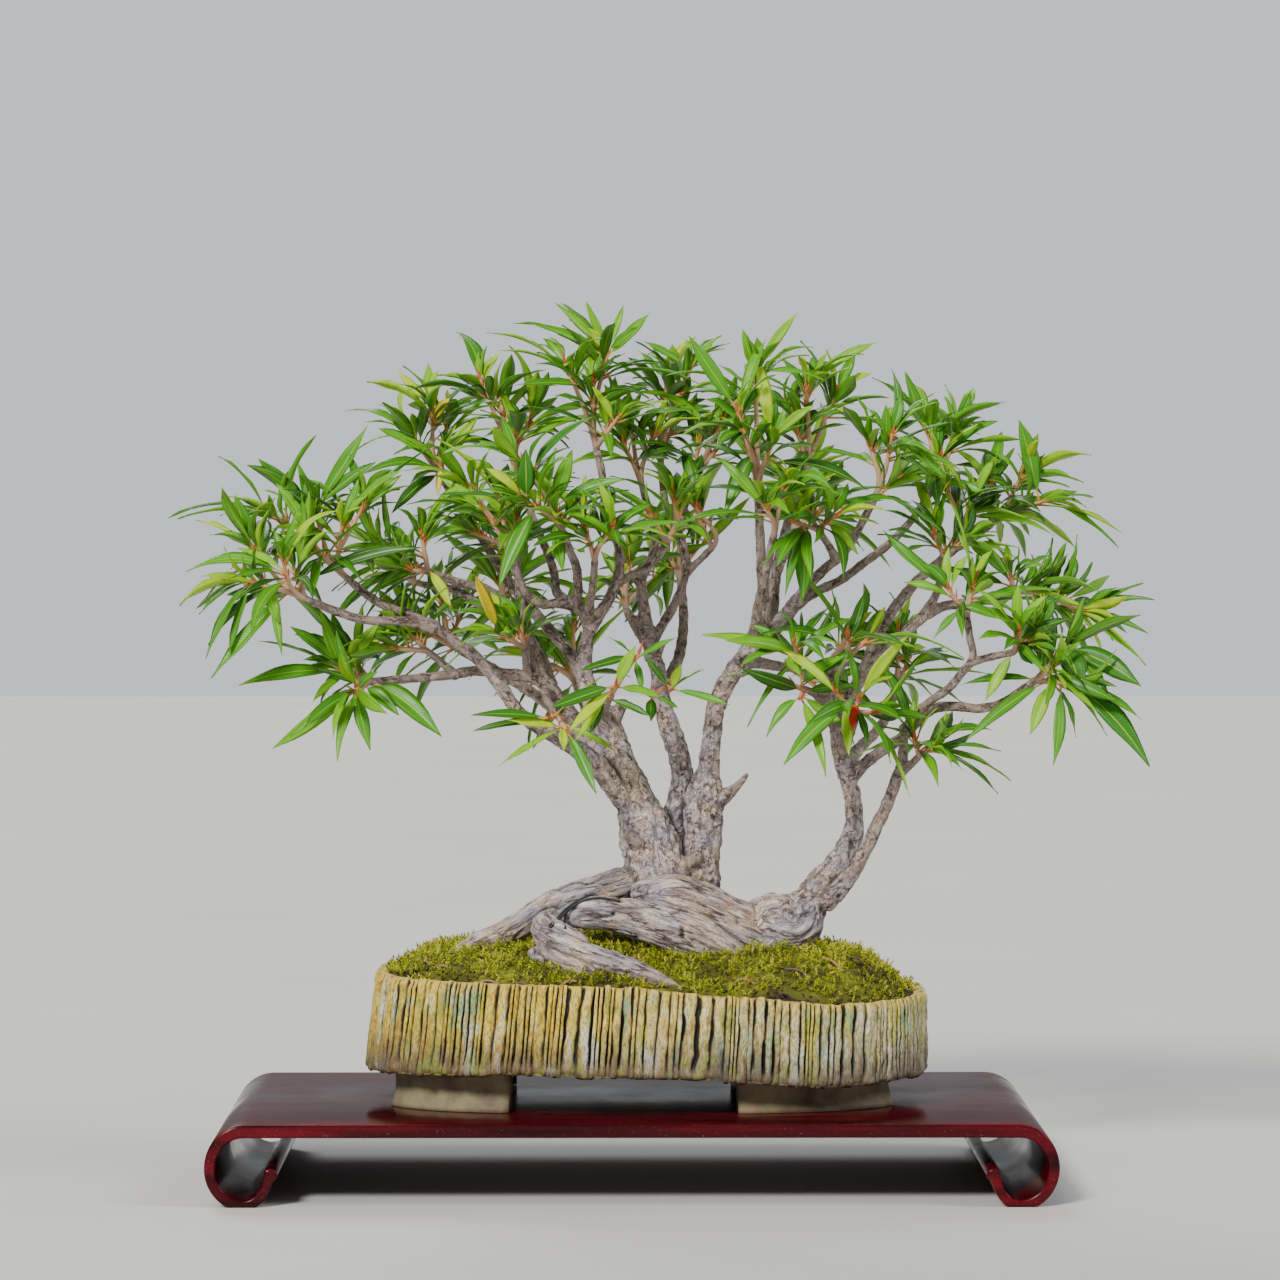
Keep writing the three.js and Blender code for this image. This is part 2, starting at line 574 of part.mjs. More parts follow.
// Even steps along a rounded oval: place and outward direction for a share of the way round
function ovalWalker([halfX, halfY], roundness) {
  const power = 2 / roundness;
  const point = (angle) => {
    const c = Math.cos(angle);
    const s = Math.sin(angle);
    return [halfX * Math.sign(c) * Math.abs(c) ** power, halfY * Math.sign(s) * Math.abs(s) ** power];
  };
  const steps = 1440;
  const lengths = [0];
  for (let i = 1; i <= steps; i++) {
    const [x0, y0] = point((2 * Math.PI * (i - 1)) / steps);
    const [x1, y1] = point((2 * Math.PI * i) / steps);
    lengths.push(lengths[i - 1] + Math.hypot(x1 - x0, y1 - y0));
  }
  const whole = lengths[steps];
  const place = (share) => {
    const goal = (share - Math.floor(share)) * whole;
    const i = Math.min(steps - 1, lengths.findIndex((l) => l > goal) - 1);
    const part = (goal - lengths[i]) / (lengths[i + 1] - lengths[i]);
    return point((2 * Math.PI * (i + part)) / steps);
  };
  return (share, inset = 0, shift = 0) => {
    const [x, y] = place(share);
    const [xa, ya] = place(share + 0.002);
    const [xb, yb] = place(share + 0.998);
    const size = Math.hypot(xa - xb, ya - yb);
    return [x + shift - (inset * (ya - yb)) / size, y + (inset * (xa - xb)) / size];
  };
}

// Where the ribs of the tray begin and end, as shares of the way round
function ribEdges() {
  const next = lottery(11);
  const widths = Array.from({ length: POT.ribs }, () => 0.6 + 0.8 * next());
  const whole = widths.reduce((sum, w) => sum + w);
  let at = 0;
  return widths.map((w) => {
    at += w / whole;
    return at;
  });
}

// Two rings with their own counts, joined by steps of whichever lags behind
function stitch(points, faces, first, second, outwards) {
  const start = points.length;
  points.push(...first.ring, ...second.ring);
  const a = first.ring.length;
  const b = second.ring.length;
  let i = 0;
  let j = 0;
  while (i < a || j < b) {
    const nextA = i < a ? first.shares[i + 1] ?? 1 + first.shares[0] : 9;
    const nextB = j < b ? second.shares[j + 1] ?? 1 + second.shares[0] : 9;
    const pa = start + (i % a);
    const pb = start + a + (j % b);
    if (nextA <= nextB) {
      faces.push(outwards ? [pa, start + ((i + 1) % a), pb] : [pa, pb, start + ((i + 1) % a)]);
      i++;
    } else {
      faces.push(outwards ? [pa, start + a + ((j + 1) % b), pb] : [pa, pb, start + a + ((j + 1) % b)]);
      j++;
    }
  }
}

function fan(points, faces, ring, outwards) {
  const start = points.length;
  points.push(...ring);
  for (let i = 1; i < ring.length - 1; i++) {
    faces.push(outwards ? [start, start + i, start + i + 1] : [start, start + i + 1, start + i]);
  }
}

function potBody() {
  const rimOval = ovalWalker(POT.rimHalf, POT.roundness);
  const footOval = ovalWalker(POT.footHalf, POT.roundness);
  const next = lottery(23);
  const edges = ribEdges();
  const shares = [];
  const top = [];
  const bottom = [];
  edges.forEach((edge, i) => {
    const before = i ? edges[i - 1] : 0;
    const crest = (before + edge) / 2;
    const proud = 0.9 * next();
    const lift = 2.6 * (next() - 0.5);
    const drop = 3 * (next() - 0.5);
    for (const [share, inset] of [[crest, -proud], [edge, POT.groove]]) {
      const [tx, ty] = rimOval(share, inset, POT.rimShift);
      const [bx, by] = footOval(share, inset, POT.footShift);
      shares.push(share);
      top.push(vec(tx, ty, along(RIM, tx) + (inset > 0 ? -1.2 : lift)));
      bottom.push(vec(bx, by, along(EDGE, bx) + (inset > 0 ? 2.4 : drop)));
    }
  });
  const count = 36;
  const even = Array.from({ length: count }, (_, i) => i / count);
  const ringOf = (walker, inset, shift, height) =>
    even.map((share) => {
      const [x, y] = walker(share, inset, shift);
      return vec(x, y, height ?? along(RIM, x) - 1);
    });
  const innerTop = ringOf(rimOval, POT.wall, POT.rimShift, null);
  const innerFloor = ringOf(rimOval, POT.wall + 2, POT.rimShift, POT.floor);
  const under = ringOf(footOval, 15, POT.footShift, POT.under);
  const points = [];
  const faces = [];
  stitch(points, faces, { ring: bottom, shares }, { ring: top, shares }, true);
  stitch(points, faces, { ring: top, shares }, { ring: innerTop, shares: even }, true);
  stitch(points, faces, { ring: innerTop, shares: even }, { ring: innerFloor, shares: even }, true);
  fan(points, faces, innerFloor, true);
  stitch(points, faces, { ring: under, shares: even }, { ring: bottom, shares }, true);
  fan(points, faces, under, false);
  return welded(points, faces);
}

// One point where several lists of faces share a corner
function welded(points, faces) {
  const kept = [];
  const where = new Map();
  const index = points.map((p) => {
    const key = [p.x, p.y, p.z].map((v) => v.toFixed(4)).join();
    if (!where.has(key)) {
      where.set(key, kept.length);
      kept.push(p);
    }
    return where.get(key);
  });
  const joined = faces.map((face) => face.map((i) => index[i]));
  return { points: kept, faces: joined.filter(([a, b, c]) => a !== b && b !== c && a !== c) };
}

// A corner foot: a short wall on the oval, hollowed outside between its toe and its top
function potFoot(from, to) {
  const outer = ovalWalker(FOOT.half, POT.roundness);
  const steps = 5;
  const base = STAND.height + GAP;
  const top = POT.under + 3;
  const profile = [[FOOT.wide, base], [FOOT.wide, top], [-4, top], [1.5, base + 13], [-FOOT.toe, base]];
  const rings = [];
  for (let i = 0; i <= steps; i++) {
    const share = from + ((to - from) * i) / steps;
    rings.push(
      profile.map(([inset, height]) => {
        const [x, y] = outer(share, inset, FOOT.shift);
        return vec(x, y, height);
      }),
    );
  }
  return loft(rings);
}

function pot() {
  const { start, right, left } = FOOT;
  const spans = [
    [start, right], [0.5 - left, 0.5 - start], [0.5 + start, 0.5 + left], [1 - right, 1 - start],
  ];
  return fuse([potBody(), ...spans.map(([a, b]) => potFoot(a, b))]);
}

// Soil and moss: a low mound, with plain holes where the roots and trunks stand

const innerHalf = POT.rimHalf.map((half) => half - POT.wall - SOIL.slack);

function ovalShare(x, y) {
  const u = Math.abs((x - POT.rimShift) / innerHalf[0]);
  const v = Math.abs(y / innerHalf[1]);
  return (u ** POT.roundness + v ** POT.roundness) ** (1 / POT.roundness);
}

// The mound is steep at its ends and slopes gently towards the front and back
function groundHeight(x, y) {
  const rim = along(RIM, x) - 2;
  const steep = 2.4 + 6 * Math.min(1, (x - POT.rimShift) ** 2 / innerHalf[0] ** 2);
  return rim + (SOIL.crown - rim) * (1 - Math.min(1, ovalShare(x, y)) ** steep);
}

function groundRing(share, drop, jitter) {
  const walker = ovalWalker(innerHalf, POT.roundness);
  const next = lottery(31 + Math.round(share * 100));
  return Array.from({ length: SOIL.sides }, (_, i) => {
    const [x, y] = walker(i / SOIL.sides);
    const px = POT.rimShift + x * share;
    const py = y * share;
    return vec(px, py, groundHeight(px, py) - drop + jitter * (next() - 0.5));
  });
}

function soil() {
  const walker = ovalWalker(innerHalf, POT.roundness);
  const bottom = Array.from({ length: SOIL.sides }, (_, i) => {
    const [x, y] = walker(i / SOIL.sides);
    return vec(POT.rimShift + x, y, POT.floor + GAP);
  });
  const shares = [1, 0.88, 0.55, 0.2];
  return loft([bottom, ...shares.map((share) => groundRing(share, SOIL.moss, 0))]);
}

function moss() {
  const shares = [1, 0.88, 0.55];
  const top = shares.map((share) => groundRing(share, 0, 2.4));
  const under = shares.map((share) => groundRing(share, SOIL.moss - GAP, 0));
  const rings = [...under.reverse(), ...top];
  const count = SOIL.sides;
  const points = rings.flat();
  const faces = [];
  rings.forEach((_, r) => {
    for (let i = 0; i < count; i++) {
      const a = r * count + i;
      const b = r * count + ((i + 1) % count);
      const c = ((r + 1) % rings.length) * count + i;
      const d = ((r + 1) % rings.length) * count + ((i + 1) % count);
      faces.push([a, b, c], [b, d, c]);
    }
  });
  return { points, faces };
}

// Tree

const rootPaths = Object.values(ROOTS).map(pathOf);
const trunkPaths = Object.values(TRUNKS).map(pathOf);
const limbPaths = Object.values(LIMBS).map(pathOf);
const branchPaths = Object.values(SPRAYS).map(({ branch }) => pathOf(branch));

const widest = (path) => Math.max(...path.map(({ r }) => r));
const faceted = (path) => thinned(path, STRAY + widest(path) / 10);
const woodTube = (path, grow = 0) => tube(faceted(path), sidesFor(widest(path)), grow);

const woodTubes = [...rootPaths, ...trunkPaths, ...limbPaths, ...branchPaths].map((path) => woodTube(path));
const standing = rootPaths.filter((_, i) => i !== 2).concat([trunkPaths[0], trunkPaths[3]]);
const groundHoles = fuse(standing.map((path) => woodTube(path, SOIL.hole)));

// Wire: each of its points is pressed back until it nearly meets a root

function clearOfRoots(place) {
  let nearest = Infinity;
  for (const path of rootPaths.map(faceted)) {
    for (let i = 0; i < path.length - 1; i++) {
      const line = new THREE.Line3(path[i].at, path[i + 1].at);
      const t = line.closestPointToPointParameter(place, true);
      const reach = line.at(t, vec()).distanceTo(place) - THREE.MathUtils.lerp(path[i].r, path[i + 1].r, t);
      nearest = Math.min(nearest, reach);
    }
  }
  return nearest;
}

function pressedBack(x, height) {
  for (let depth = WIRE.from; depth < 0; depth += 0.25) {
    const place = seen(x, depth, height);
    if (clearOfRoots(place) < WIRE.radius + WIRE.seat) return seen(x, depth - 0.25, height);
  }
  return seen(x, 0, height);
}

function tieWire() {
  const curve = new THREE.CatmullRomCurve3(WIRE.rows.map(([x, height]) => pressedBack(x, height)));
  const path = curve.getPoints(WIRE.steps).map((at, i) => {
    return { at, dir: curve.getTangent(i / WIRE.steps), r: WIRE.radius };
  });
  return tube(path, WIRE.sides);
}

// Sprays

// Twigs fan out from the end of their branch and curve to their tips
function spray(name, index) {
  const { branch, tips } = SPRAYS[name];
  const end = pathOf(branch).pop();
  const start = end.at.clone().addScaledVector(end.dir, GAP);
  const pieces = [];
  const shoots = tips.map(([x, depth, height, leaves], i) => {
    const tip = seen(x, depth, height);
    const bend = start.clone().addScaledVector(end.dir, TWIG.reach * start.distanceTo(tip));
    const middle = new THREE.QuadraticBezierCurve3(start, bend, tip).getPoint(0.5);
    const long = start.distanceTo(tip);
    const dir = tip.clone().sub(middle).normalize();
    const outwards = tip.clone().sub(CROWN).normalize();
    const axis = dir.clone().multiplyScalar(0.7).addScaledVector(outwards, 0.25);
    axis.addScaledVector(UP, 0.3).normalize();
    const path = [
      { at: start, dir: end.dir, r: end.r },
      { at: middle, dir: tip.clone().sub(start).normalize(), r: (end.r + TWIG.tip) / 2 },
      { at: tip, dir, r: TWIG.tip },
    ];
    if (long < TWIG.straight) path.splice(1, 1);
    const twig = spike(ringsOf(path, 3), tip.clone().addScaledVector(axis, TWIG.bud));
    pieces.push(twig);
    const back = long < TWIG.straight ? start : middle;
    const room = Math.min(LEAF.spread, 0.85 * tip.distanceTo(back));
    const along = tip.clone().sub(back).normalize();
    return { tip, dir: along, axis, room, leaves, twig, seed: index * 50 + i * 7 + 1 };
  });
  return { name, pieces, shoots };
}

// Shoots in front of the trunk, whose leaves are placed one by one. Each row: which shoot it grows on,
// its tip's x, depth and height in the front view, its breadth, its sag, and 1 where it is seen
// edge-on.
const PLACED = {
  a09: [
    [0, -35, -70, 272, 9, 6, 0], [0, -100, -64, 324, 8, 4, 0], [0, -105, -66, 293, 5, 3, 0],
    [0, -59, -58, 303, 7, 1, 0], [0, -21, -54, 304, 4.5, 3, 0], [1, -125, -68, 330, 6.5, 5, 0],
    [1, -124, -44, 318, 7, 4, 0], [1, -30, -66, 357, 4.5, 5, 1],
  ],
  b07: [
    [0, 24, -44, 365, 7, 0, 0], [0, -2, -40, 370, 5, 2, 0], [0, 60, -54, 335, 6, 4, 0],
    [0, 40, -38, 361, 4, 4, 1], [1, 2, -54, 324, 8, 1, 0], [1, 22, -60, 333, 4.5, 3, 0],
  ],
  b08: [
    [0, -68, -94, 333, 10, 3, 0], [0, -8, -80, 377, 9, 1, 0], [0, 11, -92, 342, 7, 3, 0],
    [0, -55, -102, 318, 9, 4, 0], [1, -41, -66, 316, 8, 2, 0], [1, -50, -84, 309, 6, 3, 0],
    [1, 4, -74, 328, 6, 2, 0], [2, -48, -74, 359, 6.5, 4, 0], [2, -27, -66, 384, 4.5, 3, 1],
    [2, -3, -72, 346, 6, 1, 0], [2, 22, -70, 384, 5, 4, 0],
  ],
};

const CROWN = vec(0, 0, 330); // leaves and shoots lean away from here

// The large leaves of a shoot: five in a big rosette, three in a full one and two in a small one
const largeLeaves = ({ leaves }) => (leaves > 10 ? 5 : leaves > 8 ? 3 : 2);

// Leaf j of a shoot: where it springs from, which way it runs, and its size. The attempt turns and
// tilts it a little, so that it can be bent clear of its neighbours.
const SWING = [0, 0.22, -0.22, 0.44, -0.44, 0.16, -0.16, 0.66, -0.66, 0.34, -0.34, 0.9];
const TILT = [0, 0, 0, 0, 0, -0.3, -0.3, -0.12, -0.12, 0.25, 0.25, -0.4];

function leafPose(shoot, j, attempt) {
  const next = lottery(shoot.seed * 31 + j * 3 + 5);
  next();
  const level = (j * 0.618034 + 0.1) % 1;
  const turn = j * LEAF.golden + shoot.seed + 0.5 * (next() - 0.5) + SWING[attempt];
  const open = 1.38 - 0.85 * level + 0.3 * (next() - 0.5) + TILT[attempt];
  const long = j < 3 ? 58 + 20 * next() : 44 + 24 * next();
  const wide = long * (0.135 + 0.055 * next());
  const sag = 0.05 + 0.2 * next();
  const roll = 0.9 * (next() - 0.5);
  const { axis } = shoot;
  const side = axis.clone().cross(Math.abs(axis.z) > 0.95 ? vec(1, 0, 0) : UP).normalize();
  const other = axis.clone().cross(side);
  const out = side.clone().multiplyScalar(Math.cos(turn)).addScaledVector(other, Math.sin(turn));
  const dir = axis.clone().multiplyScalar(Math.cos(open)).addScaledVector(out, Math.sin(open)).normalize();
  const base = shoot.tip.clone().addScaledVector(shoot.dir, -(1 - level) * shoot.room);
  const face = axis.clone().addScaledVector(dir, -axis.dot(dir)).normalize().applyAxisAngle(dir, roll);
  return { base, dir, face, long: long * (1 - 0.025 * attempt), wide, sag: long * sag };
}

// A leaf that runs from its shoot to a given tip. The leaves of one shoot spring from it one below another.
function placedPose(shoot, [, x, depth, height, wide, sag, edgeOn], j) {
  const base = shoot.tip.clone().addScaledVector(shoot.dir, -1 - 1.6 * j);
  const reach = seen(x, depth, height).sub(base).addScaledVector(UP, sag);
  const long = reach.length();
  const dir = reach.normalize();
  const face = edgeOn ? UP.clone() : vec(0.05, -0.82, 0.57);
  face.addScaledVector(dir, -face.dot(dir)).normalize();
  return { base, dir, face, long, wide, sag };
}

// For each large leaf of a shoot, the poses that it may take, the best one first
function posesOf(name, shoots, shoot) {
  if (PLACED[name]) {
    const own = PLACED[name].filter(([at]) => shoots[at] === shoot);
    return own.map((row, j) => [placedPose(shoot, row, j)]);
  }
  const count = largeLeaves(shoot);
  return Array.from({ length: count }, (_, j) => SWING.map((_, attempt) => leafPose(shoot, j, attempt)));
}

// Along a blade: share of its length, half width as a share of the whole width, depth of its keel
const BLADE = [[0, 0.07, 0.5], [0.32, 0.5, 1], [0.64, 0.4, 0.9]];

function blade(pose, spare = 0, from = 0) {
  const { base, dir, face, long, wide, sag } = pose;
  const across = dir.clone().cross(face);
  const at = (t) => base.clone().addScaledVector(dir, long * t).addScaledVector(UP, -sag * t * t);
  const rings = BLADE.map(([share, half, keel]) => {
    const t = Math.max(share, from);
    const centre = at(t);
    const run = dir.clone().multiplyScalar(long).addScaledVector(UP, -2 * sag * t).normalize();
    const top = across.clone().cross(run).normalize();
    const reach = wide * half + spare * 1.6;
    return [
      centre.clone().addScaledVector(across, reach).addScaledVector(top, LEAF.rise + spare),
      centre.clone().addScaledVector(top, -LEAF.keel * keel - spare),
      centre.clone().addScaledVector(across, -reach).addScaledVector(top, LEAF.rise + spare),
    ];
  });
  return spike(rings, at(1 + spare / long));
}

// Two closed shapes cross where an edge of one goes through a face of the other
function withEdges(shape) {
  const edges = new Map();
  for (const [a, b, c] of shape.faces) {
    for (const [p, q] of [[a, b], [b, c], [c, a]]) edges.set(Math.min(p, q) * 1e5 + Math.max(p, q), [p, q]);
  }
  return { ...shape, edges: [...edges.values()], box: new THREE.Box3().setFromPoints(shape.points) };
}

const hit = vec();
function pierces(one, two) {
  for (const [p, q] of one.edges) {
    const from = one.points[p];
    const along = one.points[q].clone().sub(from);
    const length = along.length();
    const ray = new THREE.Ray(from, along.divideScalar(length));
    if (!ray.intersectsBox(two.box)) continue;
    for (const [a, b, c] of two.faces) {
      const met = ray.intersectTriangle(two.points[a], two.points[b], two.points[c], false, hit);
      if (met && met.distanceTo(from) <= length) return true;
    }
  }
  return false;
}

const crosses = (one, two) => one.box.intersectsBox(two.box) && (pierces(one, two) || pierces(two, one));

// Every leaf is tried in turn a little to each side, and left out where none of its places is clear
function growLeaves(sprays) {
  const wood = woodTubes.map(withEdges);
  const taken = [...wood];
  const twigs = sprays.flatMap(({ shoots }) => {
    return shoots.map((shoot) => ({ shoot, shape: withEdges(shoot.twig) }));
  });
  for (const { name, pieces, shoots } of sprays) {
    for (const shoot of shoots) {
      const others = [...taken, ...twigs.filter((t) => t.shoot !== shoot).map(({ shape }) => shape)];
      for (const poses of posesOf(name, shoots, shoot)) {
        for (const pose of poses) {
          const room = withEdges(blade(pose, LEAF.spare, 0.09));
          if (others.some((other) => crosses(room, other))) continue;
          const leaf = blade(pose);
          pieces.push(leaf);
          const grown = withEdges(leaf);
          taken.push(grown);
          others.push(grown);
          break;
        }
      }
    }
  }
}

// Finishes

const finish = (color, roughness) => new THREE.MeshStandardMaterial({ color, roughness, metalness: 0 });
const LACQUER = finish("#3a0d12", 0.18);
const CLAY = finish("#a39a5c", 0.75);
const EARTH = finish("#33261c", 0.95);
const MOSS = finish("#7d8a2c", 0.95);
const BARK = finish("#8f8279", 0.85);
const WIRE_BLACK = finish("#141414", 0.6);
const FOLIAGE = finish("#4f8a2b", 0.4);

// Assembly

const model = new THREE.Group();

function place(name, geometry, material) {
  const mesh = new THREE.Mesh(geometry, material);
  mesh.name = name;
  model.add(mesh);
}

// Joining can leave a loose scrap or seal a small hollow: the largest shell is the piece without them
const largest = (solid) => solid.decompose().sort((a, b) => b.volume() - a.volume())[0];

function geometryOf(solid) {
  const whole = largest(solid.asOriginal().simplify(SLIVER));
  const { vertProperties, triVerts } = whole.getMesh();
  const geometry = new THREE.BufferGeometry();
  geometry.setAttribute("position", new THREE.BufferAttribute(vertProperties, 3));
  geometry.setIndex(new THREE.BufferAttribute(triVerts, 1));
  geometry.computeVertexNormals();
  return geometry;
}

place("stand_board", standBoard(), LACQUER);
place("stand_scroll_left", standScroll(-1), LACQUER);
place("stand_scroll_right", standScroll(1), LACQUER);
place("pot", geometryOf(pot()), CLAY);
place("soil", geometryOf(solidOf(soil()).subtract(groundHoles)), EARTH);
place("moss", geometryOf(solidOf(moss()).subtract(groundHoles)), MOSS);
place("tree", geometryOf(fuse(woodTubes)), BARK);
place("tie_wire", geometryOf(solidOf(tieWire())), WIRE_BLACK);

const sprays = Object.keys(SPRAYS).map((name, index) => spray(name, index));
growLeaves(sprays);
for (const { name, pieces } of sprays) {
  place("spray_" + name, geometryOf(fuse(pieces)), FOLIAGE);
}

// The origin is under the middle of the whole object, on the surface that it stands on
const bounds = new THREE.Box3().setFromObject(model);
const middle = bounds.getCenter(vec());
model.position.set(-middle.x, -middle.y, -bounds.min.z);

const group = new THREE.Group();
group.add(model);
export default group;
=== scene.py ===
"""A willow-leaved bonsai in its bark-textured clay tray, on a lacquered stand with scrolled ends.

Lengths are millimetres in the workshop frame of the tables below. placed() turns them into the metres
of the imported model. The front is towards -Y.
"""
import math

import bpy
import numpy as np
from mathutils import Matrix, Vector
from mathutils.bvhtree import BVHTree
from mathutils.kdtree import KDTree


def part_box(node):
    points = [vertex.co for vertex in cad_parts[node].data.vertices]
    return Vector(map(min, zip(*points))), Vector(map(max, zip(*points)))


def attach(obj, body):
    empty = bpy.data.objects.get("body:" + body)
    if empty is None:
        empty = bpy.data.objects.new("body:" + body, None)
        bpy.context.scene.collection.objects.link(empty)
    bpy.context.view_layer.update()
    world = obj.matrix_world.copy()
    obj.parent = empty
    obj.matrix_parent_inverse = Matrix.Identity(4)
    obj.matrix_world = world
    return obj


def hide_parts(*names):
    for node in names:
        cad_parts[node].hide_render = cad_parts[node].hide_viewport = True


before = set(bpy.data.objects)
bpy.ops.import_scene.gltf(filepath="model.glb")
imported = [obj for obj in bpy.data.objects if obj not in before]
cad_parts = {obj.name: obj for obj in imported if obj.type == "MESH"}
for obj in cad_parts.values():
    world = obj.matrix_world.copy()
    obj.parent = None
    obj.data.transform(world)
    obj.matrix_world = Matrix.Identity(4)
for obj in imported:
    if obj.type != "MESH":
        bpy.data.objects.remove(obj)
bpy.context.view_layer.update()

# Sizes that the solids share with these pieces
EYE = np.array([-31.9, -3900.0, 489.5])
UP = np.array([0.0, 0.0, 1.0])
CROWN = np.array([0.0, 0.0, 330.0])

STAND = {"left": -302, "right": 279, "depth": 340, "height": 56.5, "board": 9.1}
SCROLL = {"radius": 27.4, "foot": 32, "band": 7.6, "curl": 17, "bead": 5.2, "end": 331}
POT_RIM = (195, 133)
POT_EDGE = (199, 134)
POT_FOOT = (183, 106)
RIM_SHIFT = 3
EDGE_SHIFT = -1
ROUNDNESS = 2.8
WALL = 10
INNER_FLOOR = 96
UNDERSIDE = 88
FOOT = {"shift": -3.5, "wide": 17, "toe": 3, "start": 0.05, "right": 0.182, "left": 0.154}
GROUND_CROWN = 168
GROUND_SLACK = 3.6
RIM = [
    [-200, 148], [-130, 148], [-50, 146.8], [0, 144.7], [35, 140.6], [80, 137.4], [130, 132], [200, 133.6],
]
EDGE = [[-200, 81], [-95, 85.5], [-50, 84], [35, 82.3], [63, 80], [130, 75], [155, 77], [200, 78]]
TWIG = {"bud": 9, "reach": 0.4, "straight": 34}
GOLDEN = 2.39996
LEAF_SPREAD = 22

# Tree: rows of x, depth, height and radius, as in the solids
ROOTS = {
    "root_left": [
        [-5, 0, 212, 14], [-35, -5, 203, 12], [-68, -12, 192, 11.5], [-95, -20, 176, 9.5],
        [-125, -28, 163, 7.5], [-150, -32, 148, 5],
    ],
    "root_log": [
        [-60, -42, 184, 6], [-48, -45, 187, 10.5], [-20, -46, 186, 13], [12, -46, 178, 16],
        [38, -44, 168, 16], [58, -38, 156, 13], [70, -32, 142, 9],
    ],
    "root_wedge": [
        [-5, -28, 202, 9], [20, -30, 205, 11], [42, -26, 198, 11], [60, -18, 189, 10], [78, -8, 182, 12],
    ],
    "root_knee": [[100, -5, 180, 14], [88, -15, 165, 12], [75, -25, 153, 9], [66, -32, 141, 6]],
    "root_front": [
        [-64, -12, 188, 8], [-75, -42, 178, 8], [-74, -62, 172, 7], [-66, -76, 168, 8], [-50, -83, 161, 8.5],
        [-25, -92, 153, 8], [0, -101, 144, 6.5], [15, -107, 137, 4.5], [26, -111, 130, 3],
    ],
    "root_fork": [[-70, -66, 170, 6], [-68, -80, 158, 7], [-50, -92, 149, 6], [-36, -98, 141, 5]],
    "root_back_left": [[5, 15, 196, 16], [-20, 45, 184, 13], [-45, 72, 169, 10], [-62, 90, 150, 6]],
    "root_back_right": [[34, 15, 192, 14], [60, 42, 180, 11], [85, 62, 167, 8], [102, 76, 148, 5]],
}
TRUNKS = {
    "trunk_left": [
        [14, 3, 150, 25], [12, 3, 190, 26], [4, 2, 220, 22], [0, 0, 245, 20], [-6, 0, 262, 16],
        [-16, -4, 288, 11.5], [-25, -8, 312, 10.5], [-32, -10, 328, 9], [-40, -8, 342, 7.5],
        [-44, -4, 358, 6], [-44, 0, 374, 5.5], [-40, 4, 393, 5],
    ],
    "trunk_right": [
        [30, 4, 188, 20], [36, 2, 208, 16], [38, 0, 225, 14], [40, 0, 245, 14], [40, 0, 262, 14.5],
        [42, 0, 275, 12], [44, -2, 292, 8], [46, -2, 312, 7.5], [48, -4, 330, 7], [54, -6, 347, 6.8],
        [64, -8, 362, 7], [75, -10, 375, 7.5], [86, -12, 388, 7.5], [97, -12, 397, 6], [107, -12, 411, 5],
    ],
    "buttress": [[24, -8, 196, 14], [14, -9, 222, 14], [10, -8, 240, 13], [4, -5, 258, 10]],
    "base_right": [[70, -8, 177, 14], [85, -5, 183, 18], [104, 0, 182, 20], [116, 0, 196, 14]],
    "trunk_side": [
        [110, 0, 186, 14], [118, 0, 200, 12.5], [130, 0, 216, 10], [141, 2, 232, 8.5], [147, 4, 248, 7.5],
        [147, 6, 263, 6.8], [144, 6, 279, 6.6], [139, 4, 296, 6.8], [136, 2, 312, 6], [135, 0, 325, 5.5],
    ],
    "stub_left": [[-26, -9, 318, 6], [-21, -11, 330, 5], [-17, -12, 337, 4.4]],
    "stub_right": [[46, -2, 265, 8], [58, -5, 273, 4.6], [65, -7, 279, 3], [71, -8, 286, 2.2]],
}
